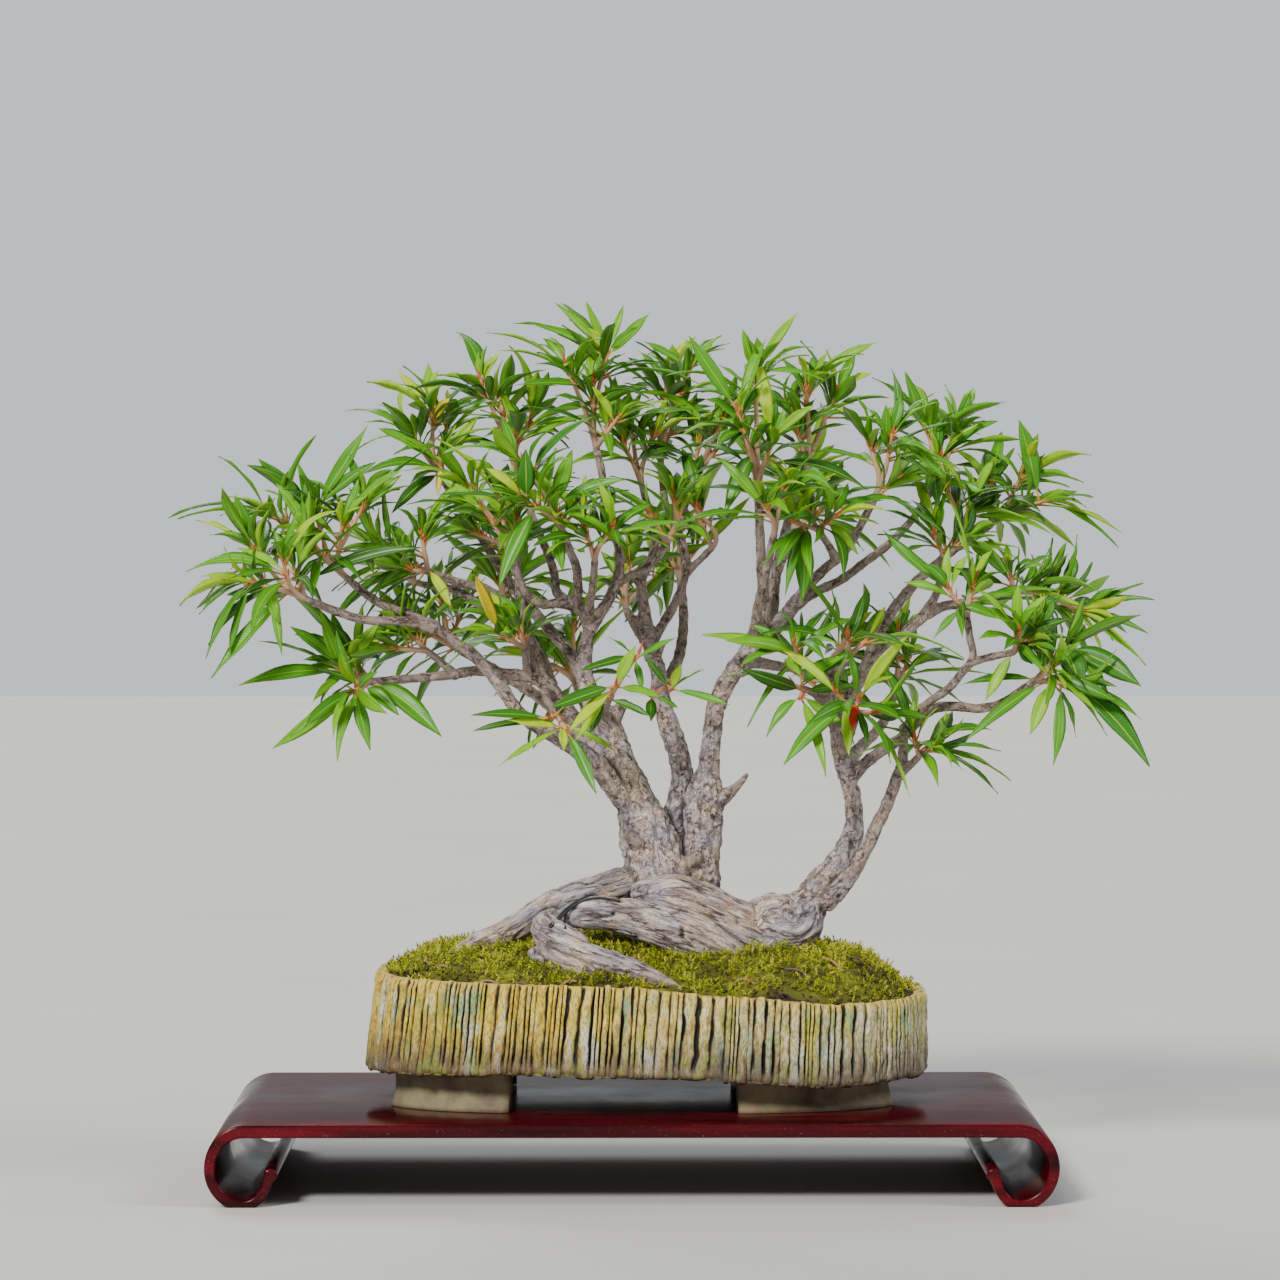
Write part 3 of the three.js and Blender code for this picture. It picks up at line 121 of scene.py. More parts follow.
LIMBS = {
    "mid_left": [
        [-4, 4, 256, 11], [-14, 8, 275, 10], [-30, 12, 297, 10], [-45, 14, 315, 9], [-56, 14, 328, 8],
        [-66, 12, 341, 7.5], [-74, 10, 354, 6], [-79, 10, 368, 5], [-84, 12, 382, 5], [-88, 14, 396, 6],
    ],
    "far_left": [
        [-8, -4, 260, 10], [-18, -6, 272, 10], [-32, -14, 289, 8], [-48, -22, 303, 7], [-66, -28, 314, 6],
        [-82, -32, 323, 5.5], [-94, -34, 334, 5], [-104, -36, 349, 5], [-114, -38, 361, 4.5],
        [-124, -40, 372, 4.5], [-140, -44, 383, 4], [-152, -48, 393, 3.8],
    ],
    "back_middle": [
        [20, 8, 240, 11], [22, 12, 262, 10], [25, 16, 285, 8.5], [22, 20, 302, 8], [15, 24, 322, 7.5],
        [10, 27, 342, 6.5], [8, 30, 360, 6], [2, 33, 378, 5.5], [-1, 36, 395, 5.5], [-3, 38, 412, 4.5],
        [-5, 40, 428, 4],
    ],
    "back_fork": [
        [3, 34, 380, 4.5], [12, 44, 394, 4], [20, 50, 408, 3.6], [26, 54, 422, 3.4], [29, 56, 438, 3.2],
    ],
    "side_top": [
        [135, 0, 322, 5.2], [142, 2, 336, 5], [148, 3, 348, 5], [156, 4, 361, 5], [168, 6, 373, 4.8],
        [180, 8, 384, 4.5], [191, 10, 394, 4.3], [201, 12, 403, 4],
    ],
    "second_stem": [
        [126, -4, 196, 9], [136, -8, 205, 8], [146, -12, 216, 5.5], [155, -16, 232, 5], [163, -20, 249, 4.8],
        [170, -24, 264, 4.6], [177, -28, 282, 4.4], [181, -30, 294, 4], [182, -32, 308, 3.6],
        [183, -34, 320, 3.4],
    ],
    "side_fork": [[133, 0, 320, 4.6], [128, -4, 333, 4], [124, -8, 341, 3.4]],
}
# Short dead stubs that stand out of the bark
STUBS = [
    [[6, 30, 372, 4.6], [12, 24, 380, 2.2]],
    [[-1, 36, 394, 4.4], [-10, 30, 398, 2.2]],
    [[-86, 12, 390, 4.6], [-93, 6, 396, 3]],
    [[30, -10, 222, 6], [36, -18, 228, 4.5]],
    [[-8, -16, 238, 6], [-14, -21, 243, 4]],
]

# Branches that end in a leafy spray: rows of the branch, then its shoots as x, depth, height, leaves
SPRAYS = {
    "a01": {
        "branch": [
            [-88, 14, 393, 4.6], [-100, 12, 407, 4.2], [-112, 8, 416, 3.8], [-135, -2, 423, 3],
            [-155, -8, 430, 2.6],
        ],
        "tips": [[-170, -14, 432, 9], [-160, -22, 458, 9], [-184, 0, 442, 8]],
    },
    "a02": {
        "branch": [
            [-87, 14, 392, 4.4], [-105, 24, 398, 3.5], [-120, 34, 408, 3.2], [-136, 44, 417, 3],
            [-158, 54, 421, 2.6],
        ],
        "tips": [[-178, 62, 428, 9], [-190, 78, 446, 8]],
    },
    "a03": {
        "branch": [[-88, 14, 394, 4.4], [-90, 18, 410, 3.4], [-91, 22, 424, 3], [-92, 26, 436, 2.8]],
        "tips": [[-98, 28, 456, 9], [-124, 18, 458, 9]],
    },
    "a04": {
        "branch": [
            [-152, -48, 391, 3.6], [-172, -54, 395, 3.2], [-200, -60, 396, 3], [-228, -66, 405, 2.8],
            [-242, -70, 411, 2.5],
        ],
        "tips": [[-284, -78, 424, 9], [-280, -62, 448, 9], [-258, -94, 438, 9], [-250, -52, 432, 8]],
    },
    "a05": {
        "branch": [
            [-150, -47, 391, 3.6], [-168, -42, 400, 3], [-186, -36, 406, 3], [-200, -32, 415, 2.8],
            [-213, -28, 426, 2.5],
        ],
        "tips": [
            [-268, -30, 472, 9], [-236, -14, 474, 9], [-216, -42, 462, 8], [-200, -16, 478, 9],
            [-238, -48, 452, 8],
        ],
    },
    "a06": {
        "branch": [
            [-74, 10, 354, 5], [-100, 2, 358, 3.8], [-120, -6, 360, 3.6], [-140, -14, 357, 3.4],
            [-160, -20, 355, 3.1],
            [-196, -30, 352, 2.8]],
        "tips": [[-216, -34, 360, 12], [-210, -56, 344, 8], [-212, -12, 373, 9]],
    },
    "a07": {
        "branch": [[-136, -13, 357, 3.2], [-146, -19, 366, 2.6], [-156, -25, 374, 2.4]],
        "tips": [[-168, -22, 386, 9], [-182, -34, 376, 8]],
    },
    "a08": {
        "branch": [[-84, 7, 356, 3.4], [-86, 0, 367, 2.6], [-87, -7, 376, 2.4]],
        "tips": [[-90, -14, 392, 8], [-104, -22, 386, 8]],
    },
    "a09": {
        "branch": [[-66, 12, 341, 4], [-72, -10, 344, 3], [-70, -26, 338, 2.8], [-66, -38, 330, 2.4]],
        "tips": [[-57, -50, 318, 8], [-68, -56, 326, 8]],
    },
    "a10": {
        "branch": [
            [-43, -5, 350, 5], [-57, 18, 375, 4.2], [-70, 24, 390, 4], [-82, 30, 404, 4],
            [-95, 36, 419, 3.8],
            [-105, 40, 434, 3.5], [-116, 46, 452, 3], [-130, 52, 472, 2.8], [-144, 56, 494, 2.6]],
        "tips": [[-170, 60, 531, 9], [-152, 46, 548, 9], [-140, 70, 536, 8], [-146, 30, 512, 9]],
    },
    "a11": {
        "branch": [
            [-40, 4, 391, 4.6], [-47, 2, 403, 4.2], [-62, -4, 408, 3.6], [-73, -8, 407, 3.3],
            [-84, -12, 413, 3.2],
            [-91, -16, 425, 3], [-95, -20, 438, 2.8]],
        "tips": [[-92, -30, 466, 9], [-116, -34, 474, 9], [-106, -14, 488, 9], [-128, -22, 494, 9]],
    },
    "a12": {
        "branch": [
            [-50, 0, 408, 3.8], [-49, -16, 421, 3.3], [-50, -32, 433, 3], [-55, -48, 446, 2.8],
            [-59, -60, 458, 2.5],
        ],
        "tips": [[-66, -72, 476, 9], [-88, -80, 482, 9], [-92, -74, 512, 9]],
    },
    "a13": {
        "branch": [
            [-54, -1, 408, 3.8], [-64, 24, 416, 3.3], [-66, 44, 430, 3], [-74, 58, 452, 2.8],
            [-84, 64, 476, 2.6],
            [-92, 64, 500, 2.5]],
        "tips": [[-118, 64, 566, 9], [-92, 48, 530, 9], [-104, 80, 552, 9], [-80, 76, 544, 9]],
    },
    "a14": {
        "branch": [
            [-40, 4, 391, 4.6], [-31, 8, 404, 4], [-21, 12, 424, 3.8], [-19, 14, 437, 3.3],
            [-21, 17, 450, 3],
            [-26, 20, 466, 2.9], [-29, 22, 482, 2.8], [-32, 24, 500, 2.7], [-36, 26, 518, 2.5]],
        "tips": [[-38, 24, 564, 9], [-28, 34, 586, 9], [-58, 18, 578, 10], [-20, 10, 540, 9]],
    },
    "a15": {
        "branch": [
            [-22, 12, 422, 3.5], [-12, 14, 427, 3], [-3, 16, 431, 2.9], [7, 18, 440, 2.8],
            [14, 20, 450, 2.6],
        ],
        "tips": [[24, 22, 472, 9], [2, 6, 472, 8], [18, -4, 486, 8]],
    },
    "a16": {
        "branch": [[-42, 2, 396, 4], [-40, -22, 410, 2.9], [-38, -44, 424, 2.6], [-37, -62, 438, 2.4]],
        "tips": [[-44, -76, 462, 9], [-24, -84, 462, 8]],
    },
    "b01": {
        "branch": [
            [-5, 40, 426, 4.2], [4, 44, 441, 3.3], [6, 48, 455, 3], [2, 52, 472, 2.8], [-3, 55, 489, 2.5],
        ],
        "tips": [[6, 54, 528, 9], [-16, 48, 520, 8], [-12, 72, 536, 9]],
    },
    "b02": {
        "branch": [[4, 32, 370, 5], [2, 60, 376, 4], [-6, 90, 388, 3.5], [-14, 118, 402, 3]],
        "tips": [[-18, 138, 422, 9], [6, 150, 426, 8], [-10, 124, 448, 8]],
    },
    "b03": {
        "branch": [[10, 27, 344, 5], [22, 60, 368, 4], [26, 94, 396, 3.5], [24, 120, 424, 3]],
        "tips": [[14, 142, 446, 9], [34, 146, 444, 8], [22, 134, 468, 8]],
    },
    "b04": {
        "branch": [
            [28, 56, 434, 3.4], [25, 58, 450, 3.1], [20, 60, 462, 2.9], [14, 62, 476, 2.7],
            [11, 66, 492, 2.5],
        ],
        "tips": [[20, 88, 540, 9], [14, 92, 566, 9], [30, 72, 574, 9]],
    },
    "b05": {
        "branch": [[28, 55, 430, 3], [37, 50, 438, 2.5], [46, 46, 447, 2.3]],
        "tips": [[36, 44, 470, 8], [34, 30, 476, 8]],
    },
    "b06": {
        "branch": [[21, 60, 461, 2.9], [26, 61, 474, 2.5], [31, 62, 487, 2.3]],
        "tips": [[36, 58, 524, 9], [54, 50, 540, 9], [52, 76, 522, 8]],
    },
    "b07": {
        "branch": [[9, 28, 350, 4.5], [14, 2, 352, 3], [16, -20, 350, 2.6]],
        "tips": [[17, -38, 346, 8], [3, -40, 342, 8]],
    },
    "b08": {
        "branch": [[-30, -10, 326, 5], [-30, -34, 334, 3.2], [-26, -54, 342, 2.7]],
        "tips": [[-22, -74, 350, 8], [-30, -70, 340, 8], [-6, -60, 372, 8]],
    },
    "c01": {
        "branch": [
            [85, -12, 387, 5], [83, -24, 412, 3.8], [81, -36, 435, 3.5], [80, -46, 460, 3.2],
            [79, -54, 484, 3],
        ],
        "tips": [[70, -60, 520, 9], [77, -50, 571, 9], [90, -74, 524, 9], [64, -74, 544, 8]],
    },
    "c02": {
        "branch": [
            [88, -11, 389, 5], [90, -6, 412, 3.8], [92, 0, 433, 3.5], [97, 6, 455, 3.2], [103, 12, 476, 3],
            [110, 18, 496, 2.8]],
        "tips": [[106, 14, 532, 9], [134, 26, 558, 9], [113, 0, 562, 9], [98, 34, 548, 9]],
    },
    "c03": {
        "branch": [
            [107, -12, 409, 4.6], [116, -14, 422, 3.8], [127, -18, 433, 3.5], [138, -22, 442, 3.3],
            [146, -26, 453, 3],
            [155, -30, 470, 2.8], [162, -34, 484, 2.6]],
        "tips": [[156, -40, 524, 9], [176, -36, 494, 9], [174, -52, 528, 8]],
    },
    "c04": {
        "branch": [[134, -21, 439, 3.2], [128, -36, 450, 2.6], [121, -48, 460, 2.4]],
        "tips": [[112, -54, 478, 9], [134, -68, 470, 8], [102, -74, 466, 8]],
    },
    "c05": {
        "branch": [
            [106, -12, 408, 4.6], [120, -2, 416, 3.6], [137, 10, 424, 3.2], [156, 22, 438, 3],
            [174, 32, 452, 2.8],
            [190, 38, 470, 2.6], [202, 40, 488, 2.5]],
        "tips": [[197, 42, 534, 9], [220, 46, 534, 9], [208, 26, 512, 8]],
    },
    "c06": {
        "branch": [
            [64, -8, 362, 6], [72, 25, 378, 4.4], [80, 60, 398, 3.8], [90, 95, 424, 3.4],
            [102, 122, 454, 3],
        ],
        "tips": [[112, 140, 484, 9], [130, 148, 476, 8], [112, 134, 504, 9]],
    },
    "c07": {
        "branch": [[77, -10, 377, 5], [78, -36, 400, 3.6], [84, -60, 428, 3.1], [90, -80, 456, 2.7]],
        "tips": [[97, -98, 490, 9], [82, -106, 478, 8]],
    },
    "c08": {
        "branch": [[66, -8, 363, 6], [74, 30, 366, 4.4], [88, 74, 364, 3.8], [100, 112, 362, 3.2]],
        "tips": [[116, 138, 358, 9], [128, 132, 342, 8]],
    },
    "d01": {
        "branch": [[125, -7, 339, 4], [129, -14, 349, 2.9], [136, -20, 360, 2.8], [143, -24, 370, 2.6]],
        "tips": [[156, -28, 382, 8], [142, -42, 386, 8]],
    },
    "d02": {
        "branch": [[124, -8, 340, 3.8], [118, -20, 344, 2.6], [112, -30, 347, 2.4]],
        "tips": [[104, -38, 350, 9], [108, -52, 340, 8]],
    },
    "d03": {
        "branch": [[131, -16, 353, 3], [120, -26, 361, 2.5], [108, -34, 368, 2.3]],
        "tips": [[96, -40, 374, 9], [104, -56, 380, 8]],
    },
    "d04": {
        "branch": [
            [200, 12, 402, 4.2], [212, 14, 406, 3.6], [228, 18, 408, 3.4], [246, 22, 411, 3.2],
            [260, 26, 415, 3],
        ],
        "tips": [[270, 28, 418, 9], [308, 24, 402, 9], [288, 46, 406, 8], [258, 12, 428, 8]],
    },
    "d05": {
        "branch": [[199, 12, 401, 4.2], [205, 4, 414, 2.9], [209, -2, 428, 2.7], [211, -6, 440, 2.5]],
        "tips": [[204, -12, 456, 9], [224, -20, 452, 8]],
    },
    "d06": {
        "branch": [
            [156, 4, 361, 5], [162, 16, 382, 4], [169, 26, 395, 4], [180, 34, 410, 3.8], [193, 42, 425, 3.6],
            [206, 50, 436, 3.4], [218, 56, 446, 3.2], [231, 62, 454, 3], [244, 67, 464, 2.8]],
        "tips": [[244, 62, 492, 9], [266, 66, 500, 9], [258, 84, 470, 8], [281, 54, 480, 8]],
    },
    "d07": {
        "branch": [[211, 52, 440, 3.3], [218, 44, 452, 2.8], [224, 36, 464, 2.5]],
        "tips": [[230, 26, 478, 8], [214, 20, 486, 8]],
    },
    "d08": {
        "branch": [
            [144, 6, 284, 5.5], [155, 0, 294, 4.3], [165, -8, 302, 4.1], [185, -18, 316, 3.7],
            [194, -24, 326, 3.5],
            [204, -30, 333, 3.4], [220, -36, 334.5, 3.3], [236, -42, 333, 3.2], [252, -48, 337, 3.1],
            [266, -54, 346, 3],
            [276, -58, 353, 2.8]],
        "tips": [[304, -62, 350, 12], [296, -50, 376, 9], [288, -82, 362, 8]],
    },
    "d09": {
        "branch": [[181, -30, 290, 4.2], [188, -36, 294, 2.8], [193, -42, 299, 2.5]],
        "tips": [[190, -52, 312, 8], [206, -54, 308, 8]],
    },
    "d10": {
        "branch": [
            [183, -34, 318, 3.8], [200, -44, 337, 3.1], [216, -50, 349, 3], [224, -54, 359, 2.8],
            [231, -56, 368, 2.7],
            [229, -56, 384, 2.5], [227, -56, 398, 2.4]],
        "tips": [[232, -60, 424, 9], [214, -68, 418, 8]],
    },
    "d11": {
        "branch": [[230, -56, 366, 2.8], [246, -60, 370, 2.5], [260, -64, 373, 2.3]],
        "tips": [[276, -70, 386, 9], [264, -86, 388, 8]],
    },
    "d12": {
        "branch": [
            [141, 4, 292, 5.2], [150, 30, 304, 4.2], [164, 58, 318, 3.6], [172, 86, 332, 3.2],
            [176, 104, 346, 2.9],
        ],
        "tips": [[186, 120, 368, 9], [166, 128, 362, 8], [178, 106, 388, 8]],
    },
    "d13": {
        "branch": [[137, 3, 310, 5], [132, 34, 330, 3.9], [130, 66, 350, 3.4], [132, 96, 368, 3]],
        "tips": [[138, 116, 378, 9], [158, 122, 372, 8], [146, 102, 390, 8]],
    },
    "d14": {
        "branch": [[138, 3, 300, 5], [142, -22, 310, 3.4], [146, -46, 320, 2.9], [148, -62, 330, 2.6]],
        "tips": [[150, -76, 340, 9], [166, -72, 330, 9], [134, -84, 344, 8]],
    },
    "e01": {
        "branch": [
            [-45, 14, 315, 7], [-62, 44, 330, 4.6], [-84, 74, 346, 3.9], [-110, 102, 362, 3.4],
            [-132, 122, 374, 3],
        ],
        "tips": [[-152, 134, 386, 9], [-170, 122, 394, 8], [-134, 148, 398, 8], [-146, 116, 414, 8]],
    },
    "e02": {
        "branch": [[-66, 12, 341, 5.5], [-72, 46, 362, 4], [-84, 80, 384, 3.4], [-98, 110, 402, 3]],
        "tips": [[-106, 128, 424, 9], [-86, 142, 430, 8], [-100, 112, 458, 9]],
    },
    "e03": {
        "branch": [[-28, 12, 294, 7], [-34, 46, 312, 4.6], [-42, 82, 330, 3.8], [-50, 116, 350, 3.2]],
        "tips": [[-56, 138, 362, 9], [-76, 140, 368, 8], [-52, 124, 394, 8]],
    },
}

# Shoots in front of the trunk, whose leaves are placed one by one. Each row: which shoot it grows on,
# its tip's x, depth and height in the front view, its breadth, its sag, 1 where it is seen edge-on, and
# its tint.
PLACED = {
    "a09": [
        [0, -35, -70, 272, 9, 6, 0, 0.42], [0, -100, -64, 324, 8, 4, 0, 0.95],
        [0, -105, -66, 293, 5, 3, 0, 0.75], [0, -59, -58, 303, 7, 1, 0, 0.9],
        [0, -21, -54, 304, 4.5, 3, 0, 0.7], [1, -125, -68, 330, 6.5, 5, 0, 0.3],
        [1, -124, -44, 318, 7, 4, 0, 0.12], [1, -30, -66, 357, 4.5, 5, 1, 0.75],
    ],
    "b07": [
        [0, 24, -44, 365, 7, 0, 0, 0.88], [0, -2, -40, 370, 5, 2, 0, 0.3],
        [0, 60, -54, 335, 6, 4, 0, 0.55], [0, 40, -38, 361, 4, 4, 1, 0.6],
        [1, 2, -54, 324, 8, 1, 0, 0.22], [1, 22, -60, 333, 4.5, 3, 0, 0.35],
    ],
    "b08": [
        [0, -68, -94, 333, 10, 3, 0, 0.28], [0, -8, -80, 377, 9, 1, 0, 0.8],
        [0, 11, -92, 342, 7, 3, 0, 0.62], [0, -55, -102, 318, 9, 4, 0, 0.97],
        [1, -41, -66, 316, 8, 2, 0, 0.18], [1, -50, -84, 309, 6, 3, 0, 0.85],
        [1, 4, -74, 328, 6, 2, 0, 0.2], [2, -48, -74, 359, 6.5, 4, 0, 0.2],
        [2, -27, -66, 384, 4.5, 3, 1, 0.4], [2, -3, -72, 346, 6, 1, 0, 0.42],
        [2, 22, -70, 384, 5, 4, 0, 0.5],
    ],
}

# Places

board_low, board_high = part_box("stand_board")
BOARD_MIDDLE = np.array([(STAND["left"] + STAND["right"]) / 2, 0, 0])
SHIFT = np.array([(board_low.x + board_high.x) * 500, (board_low.y + board_high.y) * 500, 0]) - BOARD_MIDDLE


def placed(points):
    """Workshop millimetres to the metres of the model."""
    return (np.asarray(points, float) + SHIFT) / 1000


def seen(x, depth, height):
    """A point of the front view, moved along its ray to its true depth."""
    share = (depth - EYE[1]) / -EYE[1]
    return np.array([EYE[0] + (x - EYE[0]) * share, depth, EYE[2] + (height - EYE[2]) * share])


def unit(v):
    return v / np.linalg.norm(v, axis=-1, keepdims=True)


def lottery(seed):
    """Even random numbers from 0 to 1, the same each time for one seed."""
    state = 1 + (seed * 7919 + 104729) % 2147483645
    while True:
        state = state * 16807 % 2147483647
        yield state / 2147483647


def knots(points, seed=0):
    """Random values from -1 to 1 at the corners of a grid of unit cells, smooth between them."""
    points = np.asarray(points, float)
    cell = np.floor(points).astype(np.int64)
    t = points - cell
    t = t * t * (3 - 2 * t)
    total = np.zeros(len(points))
    for corner in np.ndindex(2, 2, 2):
        at = (cell + corner).astype(np.uint64)
        h = at[:, 0] * np.uint64(73856093) ^ at[:, 1] * np.uint64(19349663) ^ at[:, 2] * np.uint64(83492791)
        h = (h ^ np.uint64(seed * 40503 + 977)) * np.uint64(0x9E3779B97F4A7C15)
        h = (h ^ (h >> np.uint64(29))) * np.uint64(0xBF58476D1CE4E5B9)
        value = ((h >> np.uint64(33)) & np.uint64(0xFFFF)).astype(float) / 32767.5 - 1
        total += value * np.prod(np.where(corner, t, 1 - t), axis=1)
    return total


def rough(points, seed=0, octaves=3):
    """Knots at several scales, each half as large and half as strong as the last."""
    points = np.asarray(points, float)
    return sum(knots(points * 2**k, seed + k) / 2**k for k in range(octaves)) / 1.5


def smoothstep(value, low, high):
    t = np.clip((value - low) / (high - low), 0, 1)
    return t * t * (3 - 2 * t)


# Lines and tubes

GRAIN_STRETCH = 0.5  # the grain of young wood runs this much slower along it than around it


def flowing(rows, step):
    """Points and radii about every step along the smooth line through the rows."""
    data = np.array([[*seen(x, depth, height), r] for x, depth, height, r in rows])
    return flowing_line(data, step)


def flowing_line(data, step):
    """The same along rows of x, y, z and radius."""
    gaps = np.linalg.norm(np.diff(data[:, :3], axis=0), axis=1)
    at = np.concatenate([[0], np.cumsum(gaps)])
    slope = np.gradient(data, at, axis=0)
    goal = np.linspace(0, at[-1], max(2, round(at[-1] / step) + 1))
    i = np.clip(np.searchsorted(at, goal, side="right") - 1, 0, len(gaps) - 1)
    width = gaps[i][:, None]
    t = (goal - at[i])[:, None] / width
    start = (2 * t**3 - 3 * t**2 + 1) * data[i] + (t**3 - 2 * t**2 + t) * width * slope[i]
    end = (3 * t**2 - 2 * t**3) * data[i + 1] + (t**3 - t**2) * width * slope[i + 1]
    line = start + end
    return line[:, :3], line[:, 3]


def frames(points):
    """Direction and two square directions at each point, which turn as little as they can."""
    runs = unit(np.gradient(points, axis=0))
    across = UP if abs(runs[0][2]) < 0.9 else np.array([1.0, 0, 0])
    sides = []
    for run in runs:
        across = unit(across - run * across.dot(run))
        sides.append(across)
    sides = np.array(sides)
    return runs, sides, np.cross(runs, sides)


def along_line(points):
    """How far along the line each of its points lies."""
    return np.concatenate([[0], np.cumsum(np.linalg.norm(np.diff(points, axis=0), axis=1))])


def end_caps(rows, columns):
    """The faces that close the first and the last ring of a grid."""
    last = (rows - 1) * columns
    return [list(range(columns))[::-1], [last + i for i in range(columns)]]


def grid_faces(rows, columns):
    """Four-cornered faces between the rings of a grid, one ring a row."""
    r, c = np.meshgrid(np.arange(rows - 1), np.arange(columns), indexing="ij")
    a = (r * columns + c).ravel()
    b = (r * columns + (c + 1) % columns).ravel()
    return np.stack([a, b, b + columns, a + columns], axis=1)


def patch(points, faces, finish=0, caps=(), **marks):
    """Points, faces of four corners, wider faces, the finish and what each point is marked with."""
    points = np.asarray(points, float).reshape(-1, 3)
    return {"points": points, "faces": faces, "caps": list(caps), "finish": finish, "marks": marks}


def tube(points, radii, sides, finish=0, blunt=True, **marks):
    """A round tube with domed ends. Marks hold one value a ring, or one for the tube."""
    if blunt:
        points, radii, marks = domed(points, radii, marks)
    _, side, other = frames(points)
    angle = np.linspace(0, 2 * np.pi, sides, endpoint=False)
    out = side[:, None] * np.cos(angle)[None, :, None] + other[:, None] * np.sin(angle)[None, :, None]
    grid = points[:, None] + out * np.asarray(radii)[:, None, None]
    length = along_line(points)
    grain = np.stack(
        [
            np.asarray(radii)[:, None] * np.cos(angle),
            np.asarray(radii)[:, None] * np.sin(angle),
            np.broadcast_to(length[:, None] * GRAIN_STRETCH, (len(points), sides)),
        ],
        axis=2,
    )
    spread = {name: np.repeat(np.broadcast_to(value, len(points)), sides) for name, value in marks.items()}
    faces, caps = grid_faces(len(points), sides), end_caps(len(points), sides)
    return patch(grid, faces, finish, caps, grain=grain.reshape(-1, 3) + points[0], **spread)


def domed(points, radii, marks):
    """The line with two more rings at each end, drawn in like a dome."""
    first, last = unit(points[0] - points[1]), unit(points[-1] - points[-2])
    head = [points[0] + first * radii[0] * 0.8, points[0] + first * radii[0] * 0.5]
    tail = [points[-1] + last * radii[-1] * 0.5, points[-1] + last * radii[-1] * 0.8]
    radii = np.asarray(radii)
    drawn = [radii[0] * 0.35, radii[0] * 0.8, *radii, radii[-1] * 0.8, radii[-1] * 0.35]
    marks = {
        name: value if np.ndim(value) == 0 else np.pad(value, 2, "edge")
        for name, value in marks.items()
    }
    return np.vstack([head, points, tail]), np.array(drawn), marks


# Objects


def assemble(name, patches, materials, body="root"):
    """One object of several patches, in metres, with their marks as attributes."""
    offset = 0
    faces, finishes = [], []
    for p in patches:
        quads = [list(map(int, f)) for f in (p["faces"] + offset)]
        caps = [[i + offset for i in cap] for cap in p["caps"]]
        faces += quads + caps
        finishes += [p["finish"]] * (len(quads) + len(caps))
        offset += len(p["points"])
    mesh = bpy.data.meshes.new(name)
    mesh.from_pydata(placed(np.vstack([p["points"] for p in patches])).tolist(), [], faces)
    for material in materials:
        mesh.materials.append(material)
    mesh.polygons.foreach_set("material_index", finishes)
    names = sorted({mark for p in patches for mark in p["marks"]})
    for mark in names:
        wide = any(np.ndim(p["marks"].get(mark, 0)) == 2 for p in patches)
        values = [filled(p, mark, wide) for p in patches]
        write_mark(mesh, mark, np.concatenate(values))
    mesh.polygons.foreach_set("use_smooth", [True] * len(mesh.polygons))
    mesh.update()
    piece = bpy.data.objects.new(name, mesh)
    bpy.context.scene.collection.objects.link(piece)
    if body:
        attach(piece, body)
    return piece


def filled(p, mark, wide):
    value = np.asarray(p["marks"].get(mark, 0), float)
    count = len(p["points"])
    return np.broadcast_to(value, (count, 3)) if wide else np.broadcast_to(value, (count,))


def write_mark(mesh, name, values):
    values = np.asarray(values, np.float32)
    kind, key = ("FLOAT_VECTOR", "vector") if values.ndim == 2 else ("FLOAT", "value")
    mesh.attributes.new(name, kind, "POINT").data.foreach_set(key, values.ravel())


def points_of(mesh):
    """The mesh's points, in workshop millimetres."""
    flat = np.empty(len(mesh.vertices) * 3)
    mesh.vertices.foreach_get("co", flat)
    return flat.reshape(-1, 3) * 1000 - SHIFT


def normals_of(mesh):
    flat = np.empty(len(mesh.vertices) * 3)
    mesh.vertex_normals.foreach_get("vector", flat)
    return flat.reshape(-1, 3)


def move_points(mesh, points):
    mesh.vertices.foreach_set("co", placed(points).ravel())
    mesh.update()


# Shader tools


def paint(code):
    """A colour written as #rrggbb, as the shader's own linear numbers."""
    parts = [int(code[i : i + 2], 16) / 255 for i in (1, 3, 5)]
    linear = [p / 12.92 if p <= 0.04045 else ((p + 0.055) / 1.055) ** 2.4 for p in parts]
    return (*linear, 1.0)


def node(tree, kind, settings=None, **sockets):
    made = tree.nodes.new(kind)
    for key, value in (settings or {}).items():
        setattr(made, key, value)
    for key, value in sockets.items():
        feed(tree, made.inputs[key.replace("_", " ")], value)
    return made


def feed(tree, socket, value):
    if isinstance(value, bpy.types.NodeSocket):
        tree.links.new(value, socket)
    else:
        socket.default_value = value


def maths(tree, operation, *values):
    made = node(tree, "ShaderNodeMath", {"operation": operation})
    for socket, value in zip(made.inputs, values):
        feed(tree, socket, value)
    return made.outputs[0]


def mixed(tree, share, one, two):
    made = node(tree, "ShaderNodeMix", {"data_type": "RGBA"})
    for socket, value in ((0, share), (6, one), (7, two)):
        feed(tree, made.inputs[socket], paint(value) if isinstance(value, str) else value)
    return made.outputs[2]


def stretch(tree, value, low, high, new_low=0.0, new_high=1.0):
    made = node(tree, "ShaderNodeMapRange", Value=value)
    for socket, number in zip(made.inputs[1:5], (low, high, new_low, new_high)):
        socket.default_value = number
    return made.outputs[0]


def ramp(tree, value, stops):
    made = node(tree, "ShaderNodeValToRGB", Fac=value)
    elements = made.color_ramp.elements
    while len(elements) < len(stops):
        elements.new(0.5)
    for element, (place, colour) in zip(elements, stops):
        element.position = place
        element.color = paint(colour)
    return made.outputs[0]


def clouds(tree, where, scale, detail=3.0, roughness=0.55):
    made = node(tree, "ShaderNodeTexNoise", Vector=where, Scale=scale, Detail=detail, Roughness=roughness)
    return made.outputs["Fac"]


